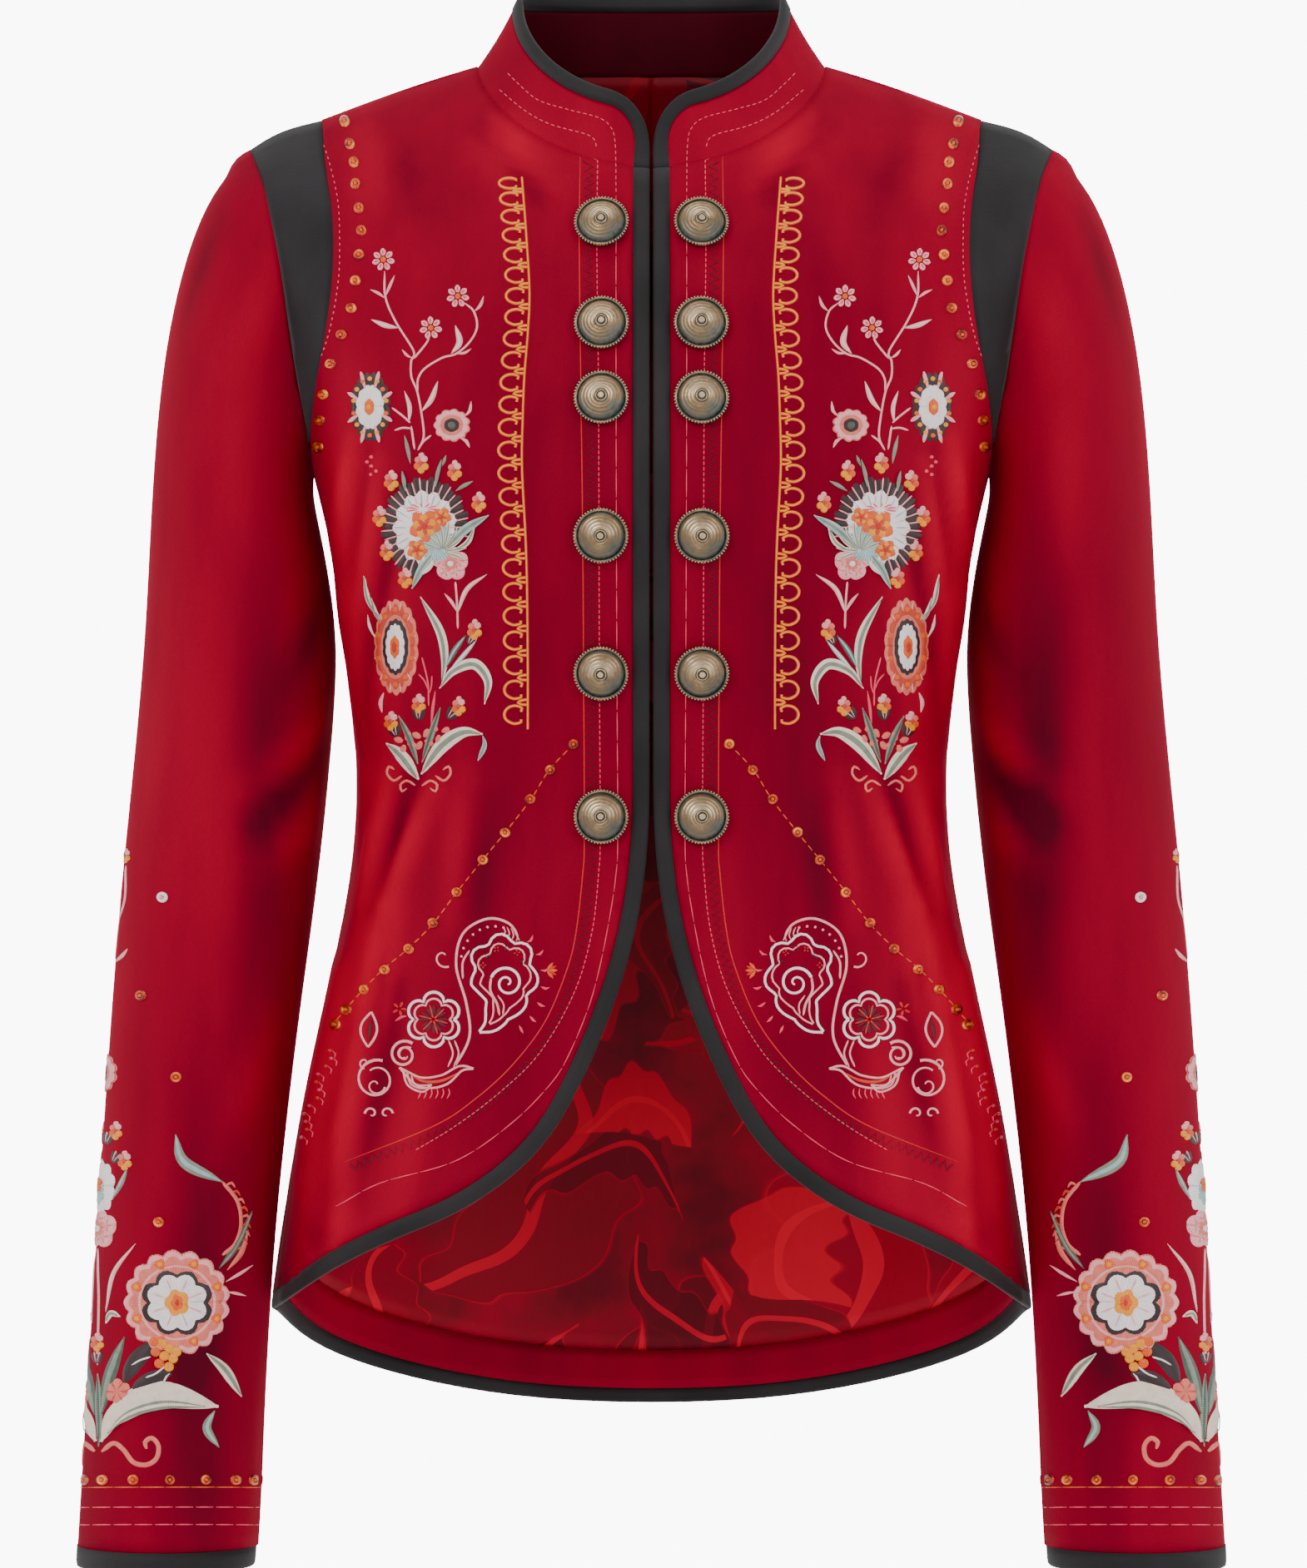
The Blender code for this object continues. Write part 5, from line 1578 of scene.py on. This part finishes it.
def draw_sleeve(work):
    """The sleeve's spray, half of it seen from the front, and the lines and sequins round the cuff."""
    for turned in (False, True):
        draw_sleeve_half(work, turned)
    dark_eyed_flower(work, 118, 1289, 25)
    bloom(work, (118, 1426), (0.8, 1.2), 0, 27, "white", 11, 0.14, 0.7, 0.2)
    bloom(work, (118, 1432), (0.8, 1.2), 0, 13, "sea", 7, 0.2, 0.4, 0.8)
    bloom(work, (118, 1424), (1, 1.2), 0, 8, "orange", 5, 0.3, 0.4, 1.1)
    pale_rose(work, 118, 1476, 24)
    stem(work, [(118, 1500), (119, 1560), (118, 1640)], "blush", 1.5)
    leaf(work, [(118, 1738), (119, 1700), (118, 1650)], 5.0, "sage", "moss")
    dark_buds(work, 118, 1640, -90, 0.9)
    floret(work, 118, 1612, 0.9)
    turns = np.linspace(-math.pi, math.pi, 37)
    for y, thread, stitch, gap in ((1787, "orange", 30, 1), (1811, "pink", 22, 3), (1832, "pink", 22, 3)):
        running(work, [(cuff_place(turn), y) for turn in turns], thread, stitch, gap, 0.9)
    for k in range(CUFF_SEQUINS):
        sequin(work, cuff_place(math.pi * (2 * k + 1) / CUFF_SEQUINS - math.pi), 1778)


def sleeve_sections(shells):
    """The right sleeve's middle, half width and depth, at heights down the arm."""
    points = np.vstack([places_of(shell.data) for shell in shells])
    rows = []
    for z in np.arange(SPRAY_BOTTOM, SPRAY_TOP, SECTION_STEP):
        near = points[np.abs(points[:, 2] - z) < SECTION_REACH]
        low, high = near.min(axis=0), near.max(axis=0)
        rows.append((z, (low[0] + high[0]) / 2, (high[0] - low[0]) / 2, (low[1] + high[1]) / 2))
    return np.array(rows)


def tree_of(shells):
    """One search tree over the faces of several shells."""
    points, faces = [], []
    for shell in shells:
        base = len(points)
        points += [v.co.copy() for v in shell.data.vertices]
        faces += [tuple(base + v for v in face.vertices) for face in shell.data.polygons]
    return BVHTree.FromPolygons(points, faces)


def body_ground(shells):
    """Lays a place on the body's cloth where the photo sees it."""
    tree = tree_of(shells)

    def lay(x, y):
        seen = Vector(((x - AXIS_PIXEL) * PIXEL, 0, (LEVEL_PIXEL - y) * PIXEL))
        point, normal, _, _ = tree.ray_cast(EYE, (seen - EYE).normalized())
        if point is None:
            point, normal, _, _ = tree.find_nearest(seen)
        return point, normal

    return lay


def sleeve_ground(shells):
    """Lays a place on the sleeve: beyond its edge in the photo, the drawing runs on round behind."""
    tree = tree_of(shells)
    sections = sleeve_sections(shells)

    def lay(x, y):
        # Each round brings the depth of the place closer
        depth = 0.0
        for _ in range(3):
            scale = (CAMERA_DISTANCE + depth) / CAMERA_DISTANCE
            z = CAMERA_Z + ((LEVEL_PIXEL - y) * PIXEL - CAMERA_Z) * scale
            middle, half, back = (np.interp(z, sections[:, 0], sections[:, k]) for k in (1, 2, 3))
            share = (middle - CAMERA_X - ((x - AXIS_PIXEL) * PIXEL - CAMERA_X) * scale) / half
            inner = min(max(share, -SLEEVE_EDGE), SLEEVE_EDGE)
            turn = math.asin(inner) + (share - inner)
            depth = back - half * math.cos(turn)
        way = Vector((-math.sin(turn), -math.cos(turn), 0))
        start = Vector((middle, back, z)) + way * 0.15
        point, normal, _, _ = tree.ray_cast(start, -way)
        return (point, normal) if point else (start, way)

    return lay


def sew(name, draw, lay):
    """Lays a drawing on the wearer's right side, and its mirror image on the left."""
    work = Drawing()
    draw(work)
    places = np.vstack(work.places)
    heights = np.concatenate(work.heights)
    faces = np.vstack(work.faces)
    threads = np.concatenate(work.threads)
    lies = np.vstack(work.lies)
    corners = places[faces]
    following = np.roll(corners, -1, axis=1)
    turn = (corners[..., 0] * following[..., 1] - following[..., 0] * corners[..., 1]).sum(axis=1)
    faces[turn > 0] = faces[turn > 0][:, ::-1]
    points = np.empty((len(places), 3))
    for k, ((x, y), height) in enumerate(zip(places, heights)):
        point, normal = lay(x, y)
        points[k] = point + normal * (height * MM)
    used = sorted(set(threads))
    for side, flip in (("right", 1), ("left", -1)):
        mesh = bpy.data.meshes.new(f"{side}_{name}")
        mesh.from_pydata((points * (flip, 1, 1)).tolist(), [], faces[:, ::flip].tolist())
        for index in used:
            mesh.materials.append(THREAD[THREAD_ORDER[index]])
        mesh.polygons.foreach_set("material_index", np.searchsorted(used, threads).astype(np.int32))
        layer = mesh.uv_layers.new(name="threads")
        layer.data.foreach_set("uv", lies[faces[:, ::flip].ravel()].ravel().astype(np.float32))
        mesh.shade_smooth()
        obj = new_object(f"{side}_{name}", mesh)
        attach(obj, "root")


def make_embroidery(shells):
    front = body_ground([shells["right_front"]])
    collar = body_ground([shells["stand_collar"], shells["right_front"]])
    sleeve = sleeve_ground([shells["right_top_sleeve"], shells["right_under_sleeve"]])
    sew("flower_spray", draw_front_spray, front)
    sew("gold_scroll_edge", draw_scroll_edge, front)
    sew("front_stitch_lines", draw_front_lines, front)
    sew("collar_stitch_lines", draw_collar_lines, collar)
    sew("skirt_paisley", draw_paisley, front)
    sew("sleeve_spray", draw_sleeve, sleeve)


def make_camera():
    """The camera that sees the jacket as the photo does."""
    camera = new_object("camera", bpy.data.cameras.new("camera"))
    camera.location = EYE
    camera.rotation_euler = (math.pi / 2, 0, 0)
    camera.data.sensor_fit = "HORIZONTAL"
    camera.data.sensor_width = SENSOR_WIDTH
    camera.data.lens = SENSOR_WIDTH * CAMERA_DISTANCE / (PHOTO_WIDTH * PIXEL)
    bpy.context.scene.camera = camera


Lamp = namedtuple("Lamp", "name place size power")
LAMPS = [
    Lamp("key", (-1.3, -2.6, 1.2), (1.4, 1.4), 34),
    Lamp("fill", (1.6, -2.4, 0.5), (1.4, 1.8), 20),
    Lamp("top", (0, -0.2, 2.2), (1.6, 1.2), 14),
    Lamp("side_left", (-2.2, 0.3, 0.1), (0.8, 2.0), 14),
    Lamp("side_right", (2.2, 0.3, 0.1), (0.8, 2.0), 14),
    Lamp("behind", (0, 2.6, 0.6), (1.8, 1.4), 16),
]
LIT_PLACE = Vector((0, 0, -0.3))
FLOOR_LEVEL = -1.0
FLOOR_SIZE = 24


def light(name, place, size, power):
    """A large soft panel that faces the jacket's middle."""
    lamp = bpy.data.lights.new(name, "AREA")
    lamp.shape = "RECTANGLE"
    lamp.size, lamp.size_y = size
    lamp.energy = power
    made = new_object(name, lamp)
    made.location = place
    made.rotation_euler = (LIT_PLACE - Vector(place)).to_track_quat("-Z", "Y").to_euler()


PAPER_GLOW = 9.0
ROOM_LIGHT = 0.7


def make_studio():
    """A pale floor and a pale room, and soft light from large panels."""
    deselect_all()
    bpy.ops.mesh.primitive_plane_add(size=FLOOR_SIZE, location=(0, 0, FLOOR_LEVEL))
    floor = bpy.context.object
    floor.name = "floor"
    paper, tree, shader = material("pale paper")
    feed(tree, shader, {
        "Base Color": ramp(noise(tree, 6, (1, 1, 1), 2), [(0.3, grey(0.86)), (0.7, grey(0.9))]),
        "Roughness": 0.9,
        "Emission Strength": PAPER_GLOW,
        "Emission Color": add_node(tree, "LightPath").outputs["Is Camera Ray"],
    })
    floor.data.materials.append(paper)
    world = bpy.data.worlds.new("studio")
    world.use_nodes = True
    sky = world.node_tree
    seen = Value(sky, add_node(sky, "LightPath").outputs["Is Camera Ray"])
    feed(sky, sky.nodes["Background"], {"Color": grey(1), "Strength": seen * PAPER_GLOW + ROOM_LIGHT})
    bpy.context.scene.world = world
    for lamp in LAMPS:
        light(*lamp)


make_camera()
make_studio()
PIECES = make_cloth()
make_buttons()
make_embroidery(PIECES)
